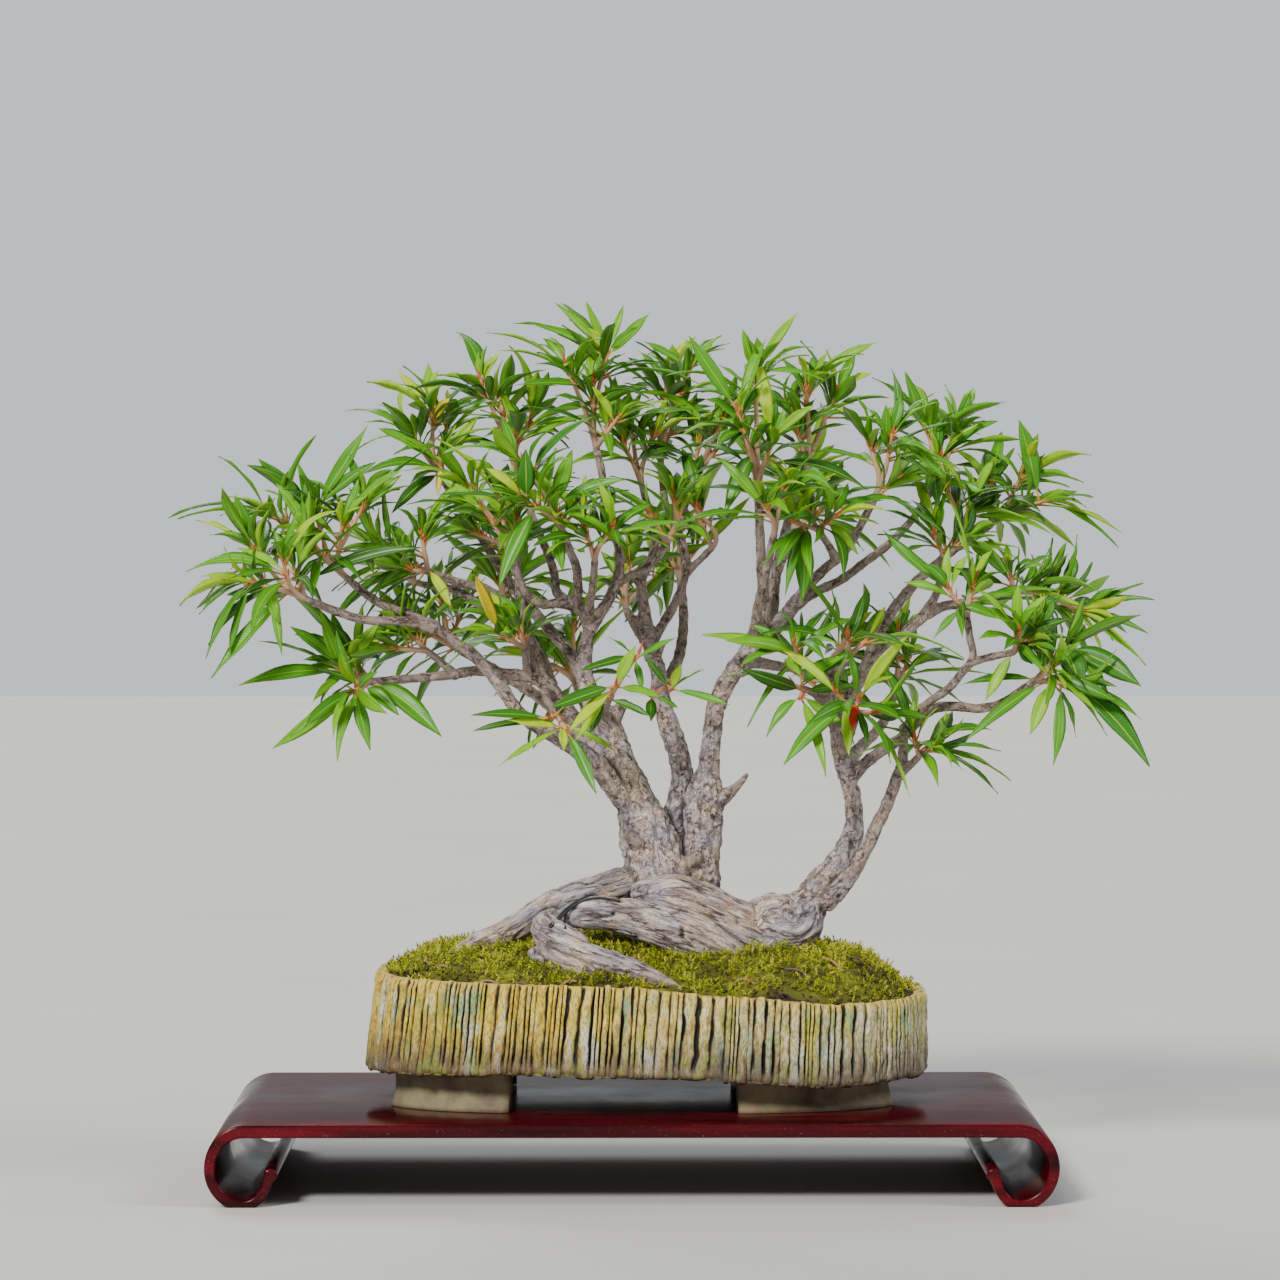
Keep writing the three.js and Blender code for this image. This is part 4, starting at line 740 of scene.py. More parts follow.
def mark(tree, name, output="Fac"):
    return node(tree, "ShaderNodeAttribute", {"attribute_name": name}).outputs[output]


def material(name, build, **plain):
    """A Principled material. build(tree, shader) wires what changes over the surface."""
    made = bpy.data.materials.new(name)
    made.use_nodes = True
    shader = made.node_tree.nodes["Principled BSDF"]
    for key, value in plain.items():
        shader.inputs[key.replace("_", " ")].default_value = value
    build(made.node_tree, shader)
    return made


def shared_group(name, inputs, outputs, build):
    """A node group with named sockets. build(tree, entry, exit) wires it."""
    tree = bpy.data.node_groups.new(name, "ShaderNodeTree")
    for socket, kind, default in inputs:
        made = tree.interface.new_socket(socket, in_out="INPUT", socket_type="NodeSocket" + kind)
        if default is not None:
            made.default_value = default
    for socket, kind in outputs:
        tree.interface.new_socket(socket, in_out="OUTPUT", socket_type="NodeSocket" + kind)
    entry = tree.nodes.new("NodeGroupInput")
    exit_ = tree.nodes.new("NodeGroupOutput")
    build(tree, entry.outputs, exit_.inputs)
    return tree


def use(tree, shared, **sockets):
    made = tree.nodes.new("ShaderNodeGroup")
    made.node_tree = shared
    for key, value in sockets.items():
        feed(tree, made.inputs[key.replace("_", " ")], value)
    return made.outputs


def build_streaks(tree, entry, exit_):
    """Long marks that follow the grain: a wide and a fine one, and the relief that they leave."""
    wide = clouds(tree, entry["Grain"], entry["Scale"], 5.0, 0.65)
    fine_scale = maths(tree, "MULTIPLY", entry["Scale"], 4.3)
    fine = clouds(tree, entry["Grain"], fine_scale, 4.0, 0.6)
    height = maths(tree, "ADD", wide, maths(tree, "MULTIPLY", fine, 0.45))
    bump = node(tree, "ShaderNodeBump", Height=height, Strength=entry["Strength"], Distance=0.001)
    tree.links.new(wide, exit_["Wide"])
    tree.links.new(fine, exit_["Fine"])
    tree.links.new(bump.outputs[0], exit_["Normal"])


STREAKS = shared_group(
    "streaks",
    [("Grain", "Vector", None), ("Scale", "Float", 0.2), ("Strength", "Float", 0.6)],
    [("Wide", "Float"), ("Fine", "Float"), ("Normal", "Vector")],
    build_streaks,
)


def build_crumbs(tree, entry, exit_):
    """Fine grains and pits in the model's own coordinates, and the relief that they leave."""
    where = node(tree, "ShaderNodeTexCoord").outputs["Object"]
    grains = clouds(tree, where, entry["Scale"], 6.0, 0.7)
    patches = clouds(tree, where, maths(tree, "MULTIPLY", entry["Scale"], 0.08), 3.0, 0.6)
    bump = node(tree, "ShaderNodeBump", Height=grains, Strength=entry["Strength"], Distance=0.0008)
    tree.links.new(grains, exit_["Grains"])
    tree.links.new(patches, exit_["Patches"])
    tree.links.new(bump.outputs[0], exit_["Normal"])


CRUMBS = shared_group(
    "crumbs",
    [("Scale", "Float", 600.0), ("Strength", "Float", 0.5)],
    [("Grains", "Float"), ("Patches", "Float"), ("Normal", "Vector")],
    build_crumbs,
)


def build_plates(tree, entry, exit_):
    """Flakes of bark, the broken cracks between them and the relief of both, laid along the grain."""
    bend = node(tree, "ShaderNodeTexNoise", Vector=entry["Grain"], Scale=0.16, Detail=6.0, Roughness=0.62)
    bent = node(tree, "ShaderNodeVectorMath", {"operation": "MULTIPLY_ADD"})
    for socket, value in zip(bent.inputs, (bend.outputs["Color"], (16.0, 16.0, 16.0), entry["Grain"])):
        feed(tree, socket, value)
    edges = {"feature": "DISTANCE_TO_EDGE"}
    cells = node(tree, "ShaderNodeTexVoronoi", edges, Vector=bent.outputs[0], Scale=entry["Scale"])
    faded = clouds(tree, entry["Grain"], 0.16, 3.0)
    width = stretch(tree, faded, 0.46, 0.66, 0.004, 0.14)
    cracks = maths(tree, "SUBTRACT", 1.0, maths(tree, "DIVIDE", cells.outputs["Distance"], width))
    cracks = stretch(tree, cracks, 0.0, 0.8)
    crust = clouds(tree, bent.outputs[0], 0.3, 7.0, 0.72)
    height = maths(tree, "SUBTRACT", crust, maths(tree, "MULTIPLY", cracks, 0.4))
    bump = node(tree, "ShaderNodeBump", Height=height, Strength=entry["Strength"], Distance=0.002)
    tree.links.new(cracks, exit_["Cracks"])
    tree.links.new(crust, exit_["Crust"])
    tree.links.new(bump.outputs[0], exit_["Normal"])


PLATES = shared_group(
    "plates",
    [("Grain", "Vector", None), ("Scale", "Float", 0.2), ("Strength", "Float", 0.8)],
    [("Cracks", "Float"), ("Crust", "Float"), ("Normal", "Vector")],
    build_plates,
)

# Finishes


def wire_bark(tree, shader):
    grain = mark(tree, "grain", "Vector")
    bark = use(tree, PLATES, Grain=grain, Scale=0.15, Strength=0.9)
    where = node(tree, "ShaderNodeTexCoord").outputs["Object"]
    zones = clouds(tree, where, 34.0, 4.0, 0.6)
    stout = stretch(tree, mark(tree, "girth"), 3.5, 9.0)
    warm_stops = [(0.34, "#6d5248"), (0.43, "#b39684"), (0.52, "#e4cdb8"), (0.62, "#fff3e4")]
    warm = ramp(tree, bark["Crust"], warm_stops)
    cool_stops = [(0.34, "#5c5158"), (0.43, "#938893"), (0.52, "#c2b8c1"), (0.63, "#f2ebee")]
    cool = ramp(tree, bark["Crust"], cool_stops)
    old = mixed(tree, stretch(tree, zones, 0.42, 0.6), cool, warm)
    slim_stops = [(0.32, "#5e4c44"), (0.44, "#907c73"), (0.56, "#b5a198"), (0.7, "#e2d0bd")]
    slim = ramp(tree, bark["Crust"], slim_stops)
    ground = mixed(tree, stout, slim, old)
    ringed = mixed(tree, maths(tree, "MULTIPLY", bark["Cracks"], 0.85), ground, "#493026")
    # Dark brown where the bark cracks and pits, and painted shade in the creases between limbs and roots.
    tree.links.new(mixed(tree, mark(tree, "crack"), ringed, "#22160f"), shader.inputs["Base Color"])
    tree.links.new(bark["Normal"], shader.inputs["Normal"])


def wire_shoot(tree, shader):
    grain = mark(tree, "grain", "Vector")
    streaks = use(tree, STREAKS, Grain=grain, Scale=0.7, Strength=0.35)
    young_stops = [(0.0, "#9b8274"), (0.35, "#b8947a"), (0.7, "#dfb188"), (1.0, "#e39a66")]
    young = ramp(tree, mark(tree, "age"), young_stops)
    spots = mixed(tree, stretch(tree, streaks["Fine"], 0.55, 0.7, 0.0, 0.6), young, "#6b4a36")
    tree.links.new(spots, shader.inputs["Base Color"])
    tree.links.new(streaks["Normal"], shader.inputs["Normal"])


def wire_bud(tree, shader):
    tips_stops = [(0.0, "#c9a26a"), (0.3, "#c4552f"), (0.75, "#cf6a35"), (1.0, "#a8a040")]
    tips = ramp(tree, mark(tree, "age"), tips_stops)
    tree.links.new(tips, shader.inputs["Base Color"])


def wire_leaf(tree, shader):
    parts = node(tree, "ShaderNodeSeparateXYZ", Vector=mark(tree, "leaf", "Vector")).outputs
    side = maths(tree, "ABSOLUTE", parts[0])
    along, tint = parts[1], parts[2]
    greens = [(0.0, "#16480a"), (0.3, "#2a760a"), (0.55, "#52a20a"), (0.78, "#8ac60c"), (1.0, "#c6de14")]
    top = ramp(tree, tint, greens)
    below = mixed(tree, 0.35, top, "#86ae44")
    face = mixed(tree, mark(tree, "under"), top, below)
    sweep = maths(tree, "MULTIPLY", side, 18.0)
    slant = maths(tree, "SUBTRACT", maths(tree, "MULTIPLY", along, 230.0), sweep)
    veins = maths(tree, "SINE", slant)
    veined = mixed(tree, stretch(tree, veins, 0.6, 1.0, 0.0, 0.13), face, "#a6cf55")
    where = node(tree, "ShaderNodeTexCoord").outputs["Object"]
    patches = clouds(tree, where, 80.0, 3.0)
    shade = mixed(tree, 0.5, veined, "#123c08")
    mottled = mixed(tree, stretch(tree, patches, 0.42, 0.68, 0.0, 0.35), veined, shade)
    margin = mixed(tree, stretch(tree, side, 0.9, 1.0, 0.0, 0.6), mottled, "#b4cc30")
    midrib = mixed(tree, stretch(tree, side, 0.08, 0.02, 0.0, 0.7), margin, "#bcd63c")
    ripe = mark(tree, "ripe")
    yellow = mixed(tree, stretch(tree, patches, 0.35, 0.7, 0.0, 0.4), "#e8c910", "#a4b81c")
    turned = mixed(tree, stretch(tree, ripe, 0.0, 1.0), midrib, yellow)
    reddened = mixed(tree, stretch(tree, ripe, 1.0, 2.0), turned, "#d0390c")
    stalk = mixed(tree, stretch(tree, along, 0.16, 0.1), reddened, "#d9a257")
    stalk = mixed(tree, stretch(tree, along, 0.07, 0.0, 0.0, 0.7), stalk, "#c9552f")
    tree.links.new(stalk, shader.inputs["Base Color"])
    tree.links.new(stretch(tree, patches, 0.3, 0.7, 0.3, 0.45), shader.inputs["Roughness"])
    bump = node(tree, "ShaderNodeBump", Height=veins, Strength=0.1, Distance=0.0004)
    tree.links.new(bump.outputs[0], shader.inputs["Normal"])


def wire_clay(tree, shader):
    crumbs = use(tree, CRUMBS, Scale=300.0, Strength=0.9)
    wrap = mark(tree, "wrap", "Vector")
    streaks = use(tree, STREAKS, Grain=wrap, Scale=0.3, Strength=0.8)
    where = node(tree, "ShaderNodeTexCoord").outputs["Object"]
    x = node(tree, "ShaderNodeSeparateXYZ", Vector=where).outputs[0]
    broad = clouds(tree, wrap, 0.045, 4.0, 0.65)
    height = mark(tree, "height")
    warm_stops = [(0.3, "#8c6a16"), (0.43, "#d2ad24"), (0.55, "#ecd04a"), (0.7, "#f6eca0")]
    warm = ramp(tree, streaks["Wide"], warm_stops)
    cool_stops = [(0.3, "#7b7150"), (0.43, "#b8ad78"), (0.55, "#ddd7ac"), (0.7, "#f0f0e2")]
    cool = ramp(tree, streaks["Wide"], cool_stops)
    slide = maths(tree, "ADD", x, maths(tree, "MULTIPLY", broad, 0.34))
    glaze = mixed(tree, stretch(tree, slide, 0.06, 0.3), warm, cool)
    glaze = mixed(tree, stretch(tree, broad, 0.52, 0.6, 0.0, 0.75), glaze, "#c8c032")
    teal = clouds(tree, wrap, 0.075, 4.0, 0.65)
    glaze = mixed(tree, stretch(tree, teal, 0.55, 0.62, 0.0, 0.7), glaze, "#5f9a80")
    milk = clouds(tree, wrap, 0.06, 5.0, 0.7)
    glaze = mixed(tree, stretch(tree, milk, 0.55, 0.63, 0.0, 0.8), glaze, "#e2e4d4")
    low = maths(tree, "ADD", height, maths(tree, "MULTIPLY", milk, 0.9))
    glaze = mixed(tree, stretch(tree, low, 1.02, 0.55, 0.0, 0.85), glaze, "#5d4a44")
    lichen = clouds(tree, where, 60.0, 4.0, 0.6)
    glaze = mixed(tree, stretch(tree, lichen, 0.55, 0.64, 0.0, 0.6), glaze, "#8d9a34")
    # Painted highlight: the rim and the tops of the ribs turn paler yellow, as where light catches them.
    rim_highlight = maths(tree, "ADD", height, maths(tree, "MULTIPLY", streaks["Fine"], 0.3))
    glaze = mixed(tree, stretch(tree, rim_highlight, 1.02, 1.14, 0.0, 0.7), glaze, "#e8c44c")
    glaze = mixed(tree, stretch(tree, streaks["Fine"], 0.52, 0.4, 0.0, 0.6), glaze, "#3c2f1c")
    # Painted shade: near black in the grooves between the ribs, as the shade inside them.
    groove_shaded = mixed(tree, stretch(tree, mark(tree, "groove"), 0.05, 0.7), glaze, "#0f0d07")
    tree.links.new(groove_shaded, shader.inputs["Base Color"])
    tree.links.new(stretch(tree, crumbs["Grains"], 0.3, 0.7, 0.42, 0.75), shader.inputs["Roughness"])
    both = node(tree, "ShaderNodeBump", Height=crumbs["Grains"], Strength=0.6, Distance=0.0009)
    tree.links.new(streaks["Normal"], both.inputs["Normal"])
    tree.links.new(both.outputs[0], shader.inputs["Normal"])


def wire_foot_clay(tree, shader):
    crumbs = use(tree, CRUMBS, Scale=300.0, Strength=0.35)
    where = node(tree, "ShaderNodeTexCoord").outputs["Object"]
    smears = clouds(tree, where, 30.0, 5.0, 0.6)
    base = ramp(tree, smears, [(0.3, "#544539"), (0.43, "#776852"), (0.55, "#8a8260"), (0.68, "#a3856b")])
    tree.links.new(base, shader.inputs["Base Color"])
    tree.links.new(crumbs["Normal"], shader.inputs["Normal"])


def wire_soil(tree, shader):
    crumbs = use(tree, CRUMBS, Scale=380.0, Strength=1.0)
    base_stops = [(0.3, "#1c130d"), (0.5, "#3b2c21"), (0.65, "#5d4a3a"), (0.8, "#8a7763")]
    base = ramp(tree, crumbs["Grains"], base_stops)
    tree.links.new(base, shader.inputs["Base Color"])
    tree.links.new(crumbs["Normal"], shader.inputs["Normal"])


def wire_moss(tree, shader):
    crumbs = use(tree, CRUMBS, Scale=450.0, Strength=0.8)
    # The tone mark holds the sprigs' own tones and the carpet's painted shade below them.
    tone = maths(tree, "ADD", mark(tree, "tone"), stretch(tree, crumbs["Patches"], 0.3, 0.7, -0.12, 0.12))
    greens = [
        (0.0, "#2a1f0c"), (0.2, "#5a5a0c"), (0.42, "#94a010"),
        (0.64, "#c9cf24"), (0.86, "#f2ea62"), (1.0, "#c0803a"),
    ]
    tree.links.new(ramp(tree, tone, greens), shader.inputs["Base Color"])
    tree.links.new(crumbs["Normal"], shader.inputs["Normal"])


def wire_lacquer(tree, shader):
    where = node(tree, "ShaderNodeTexCoord").outputs["Object"]
    drawn = node(tree, "ShaderNodeMapping", Vector=where, Scale=(6.0, 90.0, 90.0))
    grain = clouds(tree, drawn.outputs[0], 1.0, 5.0, 0.6)
    base = ramp(tree, grain, [(0.3, "#1c0105"), (0.5, "#3e040c"), (0.7, "#680a18")])
    dust = clouds(tree, where, 1300.0, 1.0)
    dusty = mixed(tree, stretch(tree, dust, 0.75, 0.79, 0.0, 0.8), base, "#b9a79c")
    tree.links.new(dusty, shader.inputs["Base Color"])
    smears = clouds(tree, where, 14.0, 4.0)
    tree.links.new(stretch(tree, smears, 0.35, 0.7, 0.12, 0.28), shader.inputs["Roughness"])


def wire_cable(tree, shader):
    crumbs = use(tree, CRUMBS, Scale=900.0, Strength=0.15)
    coating = ramp(tree, crumbs["Grains"], [(0.3, "#0c0d10"), (0.7, "#23262c")])
    tree.links.new(coating, shader.inputs["Base Color"])


def wire_litter(tree, shader):
    crumbs = use(tree, CRUMBS, Scale=500.0, Strength=0.5)
    base = ramp(tree, mark(tree, "age"), [(0.0, "#5a4638"), (0.5, "#8a7068"), (1.0, "#b08a5a")])
    shade = mixed(tree, stretch(tree, crumbs["Grains"], 0.45, 0.65, 0.0, 0.5), base, "#33261c")
    tree.links.new(shade, shader.inputs["Base Color"])


def wire_floor(tree, shader):
    where = node(tree, "ShaderNodeTexCoord").outputs["Object"]
    pale = ramp(tree, clouds(tree, where, 3.0, 2.0), [(0.3, "#d9d8d5"), (0.7, "#dedddb")])
    tree.links.new(pale, shader.inputs["Base Color"])


BARK = material("bark", wire_bark, Roughness=0.8)
SHOOT = material("shoot", wire_shoot, Roughness=0.6)
BUD = material("bud", wire_bud, Roughness=0.4)
LEAF = material("leaf", wire_leaf, Specular_IOR_Level=0.4)
CLAY = material("clay", wire_clay)
FOOT_CLAY = material("foot_clay", wire_foot_clay, Roughness=0.7)
EARTH = material("earth", wire_soil, Roughness=0.95)
MOSS = material("moss", wire_moss, Roughness=0.85)
LACQUER = material("lacquer", wire_lacquer, Specular_IOR_Level=0.16)
CABLE = material("cable", wire_cable, Roughness=0.55)
LITTER = material("litter", wire_litter, Roughness=0.85)
FLOOR = material("floor", wire_floor, Roughness=0.7)

# Tray: an oval wall of upright ribs, hand torn at its rim and lower edge


def oval(half, share):
    """Places and outward directions at shares of the way round a rounded oval."""
    power = 2 / ROUNDNESS

    def at_angle(angle):
        c, s = np.cos(angle), np.sin(angle)
        x = half[0] * np.sign(c) * np.abs(c) ** power
        y = half[1] * np.sign(s) * np.abs(s) ** power
        return np.stack([x, y], axis=-1)

    angles = np.linspace(0, 2 * np.pi, 1441)
    length = along_line(at_angle(angles))

    def place(at):
        goal = (at - np.floor(at)) * length[-1]
        return at_angle(np.interp(goal, length, angles))

    share = np.asarray(share, float)
    here = place(share)
    run = place(share + 0.002) - place(share + 0.998)
    run = run / np.linalg.norm(run, axis=-1, keepdims=True)
    return here, np.stack([run[..., 1], -run[..., 0]], axis=-1)


def table(rows, x):
    return np.interp(x, [row[0] for row in rows], [row[1] for row in rows])


RIBS = 196
RIB_COLUMNS = [0.0, 0.1, 0.24, 0.5, 0.76, 0.9]  # places across a rib, from groove to groove
RIB_SWELL = [1.0, 0.3, 0.0, -0.14, 0.0, 0.3]  # how deep each place lies, as a share of the groove
WALL_ROWS = 36
ROUND = 1060  # length of the way round the tray
# Rings of the rim and the inner side: how far in from the wall, and how far below the rim
RIM_RINGS = [(3.0, -0.9), (6.0, -0.5), (8.5, -0.2), (10.0, 1.5), (10.6, 8.0), (11.4, 24.0)]
# Rings of the underside: how far in from the wall, and how far above its lower edge
BASE_RINGS = [(15.0, None), (6.0, 3.5), (2.6, 0.8)]


def make_pot():
    draw = lottery(29)
    widths = np.array([0.4 + 1.2 * next(draw) ** 1.3 for _ in range(RIBS)])
    starts = np.concatenate([[0], np.cumsum(widths)[:-1]]) / widths.sum()
    widths = widths / widths.sum()
    proud = np.array([2.2 * next(draw) - 0.9 for _ in range(RIBS)])
    lift = np.array([4.4 * (next(draw) - 0.6) for _ in range(RIBS)])
    drop = np.array([1.6 * (next(draw) - 0.5) for _ in range(RIBS)])
    deep = np.array([2.0 + 2.8 * next(draw) for _ in range(RIBS)])
    per_rib = len(RIB_COLUMNS)
    rib = np.repeat(np.arange(RIBS), per_rib)
    within = np.tile(RIB_COLUMNS, RIBS)
    swell = np.tile(RIB_SWELL, RIBS)
    columns = len(rib)
    up = np.linspace(0, 1, WALL_ROWS)[:, None]

    def along_ribs(numbers, rise, seed):
        """Random values that change with height, alike for all columns that share a number."""
        flat = np.stack(np.broadcast_arrays(numbers * 3.7, up * rise, seed), -1)
        return rough(flat.reshape(-1, 3), seed).reshape(WALL_ROWS, columns)

    # Grooves wander sideways and close up in places on their way up
    wander = (1 - within) * along_ribs(rib, 3.2, 5) + within * along_ribs((rib + 1) % RIBS, 3.2, 5)
    share = starts[rib] + (within + 0.2 * wander) * widths[rib]
    open_ = np.clip(0.85 + 0.75 * along_ribs(rib + (within > 0.5), 3.5, 8), 0.12, 1.2)
    foot_xy, foot_out = oval(POT_EDGE, share)
    rim_xy, rim_out = oval(POT_RIM, share)
    blend = up[..., None]
    xy = foot_xy * (1 - blend) + rim_xy * blend
    xy = xy + np.array([EDGE_SHIFT, 0]) * (1 - blend) + np.array([RIM_SHIFT, 0]) * blend
    out = foot_out * (1 - blend) + rim_out * blend
    place = np.concatenate([xy, up[..., None] * 65 + 0 * xy[..., :1]], -1).reshape(-1, 3)
    lumps = rough(place / np.array([6, 6, 9]), 3).reshape(WALL_ROWS, columns)
    crust = rough(place / np.array([2.2, 2.2, 3.4]), 33).reshape(WALL_ROWS, columns)
    torn = smoothstep(up, 0.22, 0.06)
    depth = swell * deep[rib] * open_ * (1 - 0.75 * torn) - proud[rib] * (1 - np.abs(swell)) * 0.8
    inset = depth - lumps * (0.7 + 1.1 * torn) - 0.45 * crust
    inset = inset + 1.4 * smoothstep(up, 0.94, 1.0) + 2.2 * smoothstep(up, 0.05, 0.0) + 0.5
    wall_xy = xy - out * inset[..., None]
    ridge = 1 - np.clip(swell, 0, 1)
    chip = rough(np.concatenate([xy[-1] / 3.5, np.zeros((columns, 1))], -1), 37)
    top = table(RIM, xy[-1, :, 0]) + lift[rib] * ridge - 3.2 * (1 - ridge) + 0.9 * chip + 0.3
    jags = rough(np.concatenate([xy[0] / 11, np.ones((columns, 1))], -1), 39)
    bottom = table(EDGE, xy[0, :, 0]) + drop[rib] * ridge + 1.6 * jags
    z = bottom * (1 - up) + top * up
    wall = np.concatenate([wall_xy, z[..., None]], -1)
    # Painted shade: how dark each groove between the ribs is painted, as the shade inside it.
    groove = np.clip((swell * open_ * deep[rib] - 0.3) / 1.1, 0, 1) * (1 - 0.7 * torn)
    # Rim and inner side
    base_share = starts[rib] + within * widths[rib]
    rim_xy, rim_out = oval(POT_RIM, base_share)
    rings, marks = [], []
    for inset_by, down in RIM_RINGS:
        ripple = rough(np.concatenate([rim_xy / 9, np.full((columns, 1), inset_by)], -1), 12)
        ring_xy = rim_xy - rim_out * (inset_by + 0.5 * ripple)[:, None] + np.array([RIM_SHIFT, 0])
        ring_z = table(RIM, ring_xy[:, 0]) + lift[rib] * max(0, 1 - inset_by / 8) * 0.7 - down + 0.6 * ripple
        rings.append(np.concatenate([ring_xy, ring_z[:, None]], -1))
        # Painted shade: the grooves' dark carries a little way over the rim.
        marks.append(np.clip(swell, 0, 1) * max(0, 1 - inset_by / 6))
    floor_xy = rim_xy - rim_out * 12 + np.array([RIM_SHIFT, 0])
    rings.append(np.concatenate([floor_xy, np.full((columns, 1), INNER_FLOOR)], -1))
    marks.append(np.zeros(columns))
    # Underside, from the middle of the tray's base out to the wall's lower edge
    edge_xy, edge_out = oval(POT_EDGE, base_share)
    below = []
    for inset_by, up_by in BASE_RINGS:
        ring_xy = edge_xy - edge_out * inset_by + np.array([EDGE_SHIFT, 0])
        ring_z = np.full(columns, UNDERSIDE) if up_by is None else table(EDGE, ring_xy[:, 0]) + up_by
        below.append(np.concatenate([ring_xy, ring_z[:, None]], -1))
    grid = np.concatenate([np.array(below), wall, np.array(rings)])
    rows = len(grid)
    wall_up = np.broadcast_to(up, (WALL_ROWS, columns))
    up_mark = np.concatenate([np.zeros((3, columns)), wall_up, np.ones((len(rings), columns))])
    groove_shade_mark = np.concatenate([np.zeros((3, columns)), groove, np.array(marks)])
    wrap = np.stack(np.broadcast_arrays(base_share * ROUND, grid[..., 2] * 0.22, grid[..., 1] * 0.02), -1)
    caps = end_caps(rows, columns)
    body = patch(
        grid, grid_faces(rows, columns), 0, caps,
        groove=groove_shade_mark.ravel(), height=up_mark.ravel(), wrap=wrap.reshape(-1, 3),
    )
    left, right, start = FOOT["left"], FOOT["right"], FOOT["start"]
    spans = [(start, right), (0.5 - left, 0.5 - start), (0.5 + start, 0.5 + left), (1 - right, 1 - start)]
    piece = assemble("tray", [body, *[pot_foot(*span) for span in spans]], [CLAY, FOOT_CLAY])
    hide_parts("pot")


def pot_foot(start, end):
    """A corner foot: its outside is hollowed between a small toe and its top."""
    base, top = STAND["height"] + 0.3, UNDERSIDE + 3
    t = np.linspace(0, 1, 12)
    outer = -FOOT["toe"] + 4.9 * np.sin(np.pi * np.clip(t * 0.94, 0, 1)) ** 0.9 - 1.6 * t
    heights = base + (top - base) * t
    outside = np.stack([outer, heights], -1)[::-1]
    profile = [[FOOT["wide"], base], [FOOT["wide"], top], *outside.tolist()]
    profile[-1][0] += 0.5
    profile.append([-FOOT["toe"] + 1.4, base])
    profile = np.array(profile)
    shares = np.linspace(start, end, 34)
    rings = []
    for i, share in enumerate(shares):
        near_end = min(i, len(shares) - 1 - i)
        pull = {0: 2.0, 1: 0.5}.get(near_end, 0.0)
        insets = profile[:, 0].copy()
        insets[2:] += pull
        insets[:2] -= pull
        here, out = oval(POT_FOOT, np.full(len(insets), share))
        xy = here - out * insets[:, None] + np.array([FOOT["shift"], 0])
        rings.append(np.concatenate([xy, profile[:, 1:]], -1))
    grid = np.array(rings)
    lumps = rough(grid.reshape(-1, 3) / 12, 41).reshape(grid.shape[:2])
    grid[..., 0] += 0.35 * lumps
    grid[..., 1] += 0.35 * lumps
    count = len(profile)
    caps = end_caps(len(grid), count)
    return patch(grid, grid_faces(len(grid), count), 1, caps)


# Ground: a mound of soil with a carpet of moss

INNER = (POT_RIM[0] - WALL - GROUND_SLACK, POT_RIM[1] - WALL - GROUND_SLACK)
CRUMB_COUNT = 900


def ground_height(x, y):
    rim = table(RIM, x) - 2
    u, v = np.abs((x - RIM_SHIFT) / INNER[0]), np.abs(y / INNER[1])
    share = np.minimum(1, (u**ROUNDNESS + v**ROUNDNESS) ** (1 / ROUNDNESS))
    steep = 2.4 + 6 * np.minimum(1, (x - RIM_SHIFT) ** 2 / INNER[0] ** 2)
    heap = 13 * np.exp(-(((x + 14) / 26) ** 2) - ((y - 16) / 26) ** 2)
    return rim + (GROUND_CROWN - rim) * (1 - share**steep) + heap


def ground_grid(reach, rings, columns):
    """Places of a web of rings over the mound, from its edge inwards."""
    here, _ = oval(INNER, np.linspace(0, 1, columns, endpoint=False))
    shares = reach * (1 - np.linspace(0, 1, rings) ** 1.15 * 0.985)
    xy = here[None] * shares[:, None, None] + np.array([RIM_SHIFT, 0])
    return xy[..., 0], xy[..., 1]


def mossy(x, y):
    """How thick the moss is, from 0 on bare soil to 1. It thins out at the tray's rim and on the right."""
    u, v = np.abs((x - RIM_SHIFT) / INNER[0]), np.abs(y / INNER[1])
    share = (u**ROUNDNESS + v**ROUNDNESS) ** (1 / ROUNDNESS)
    flat = np.stack([x.ravel() / 26, y.ravel() / 26, np.full(x.size, 3.3)], -1)
    blotch = rough(flat, 61).reshape(x.shape)
    return smoothstep(blotch + 0.72 - 1.1 * smoothstep(share, 0.93, 1.03), -0.1, 0.25)


def make_soil():
    rings, columns = 40, 220
    x, y = ground_grid(1.0, rings, columns)
    flat = np.stack([x.ravel(), y.ravel(), np.zeros(x.size)], -1)
    crumbs = rough(flat / 5, 71).reshape(x.shape)
    z = ground_height(x, y) - 2.6 + 1.3 * crumbs
    z[0] = np.minimum(z[0], table(RIM, x[0]) - 3)
    top = np.stack([x, y, z], -1)
    skirt = top[:1].copy()
    skirt[..., 2] = INNER_FLOOR + 0.3
    grid = np.concatenate([skirt, top])
    pieces = [patch(grid, grid_faces(len(grid), columns), 0, end_caps(len(grid), columns))]
    draw = lottery(73)
    for _ in range(CRUMB_COUNT):
        share, around = 0.86 + 0.13 * next(draw) ** 0.6, next(draw)
        here, _ = oval(INNER, np.array([around]))
        x0, y0 = here[0] * share + np.array([RIM_SHIFT, 0])
        size = 0.7 + 1.5 * next(draw)
        centre = np.array([x0, y0, float(ground_height(x0, y0)) - 1.6 + 0.3 * size])
        pieces.append(crumb(centre, size, draw))
    piece = assemble("soil_bed", pieces, [EARTH])
    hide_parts("soil")


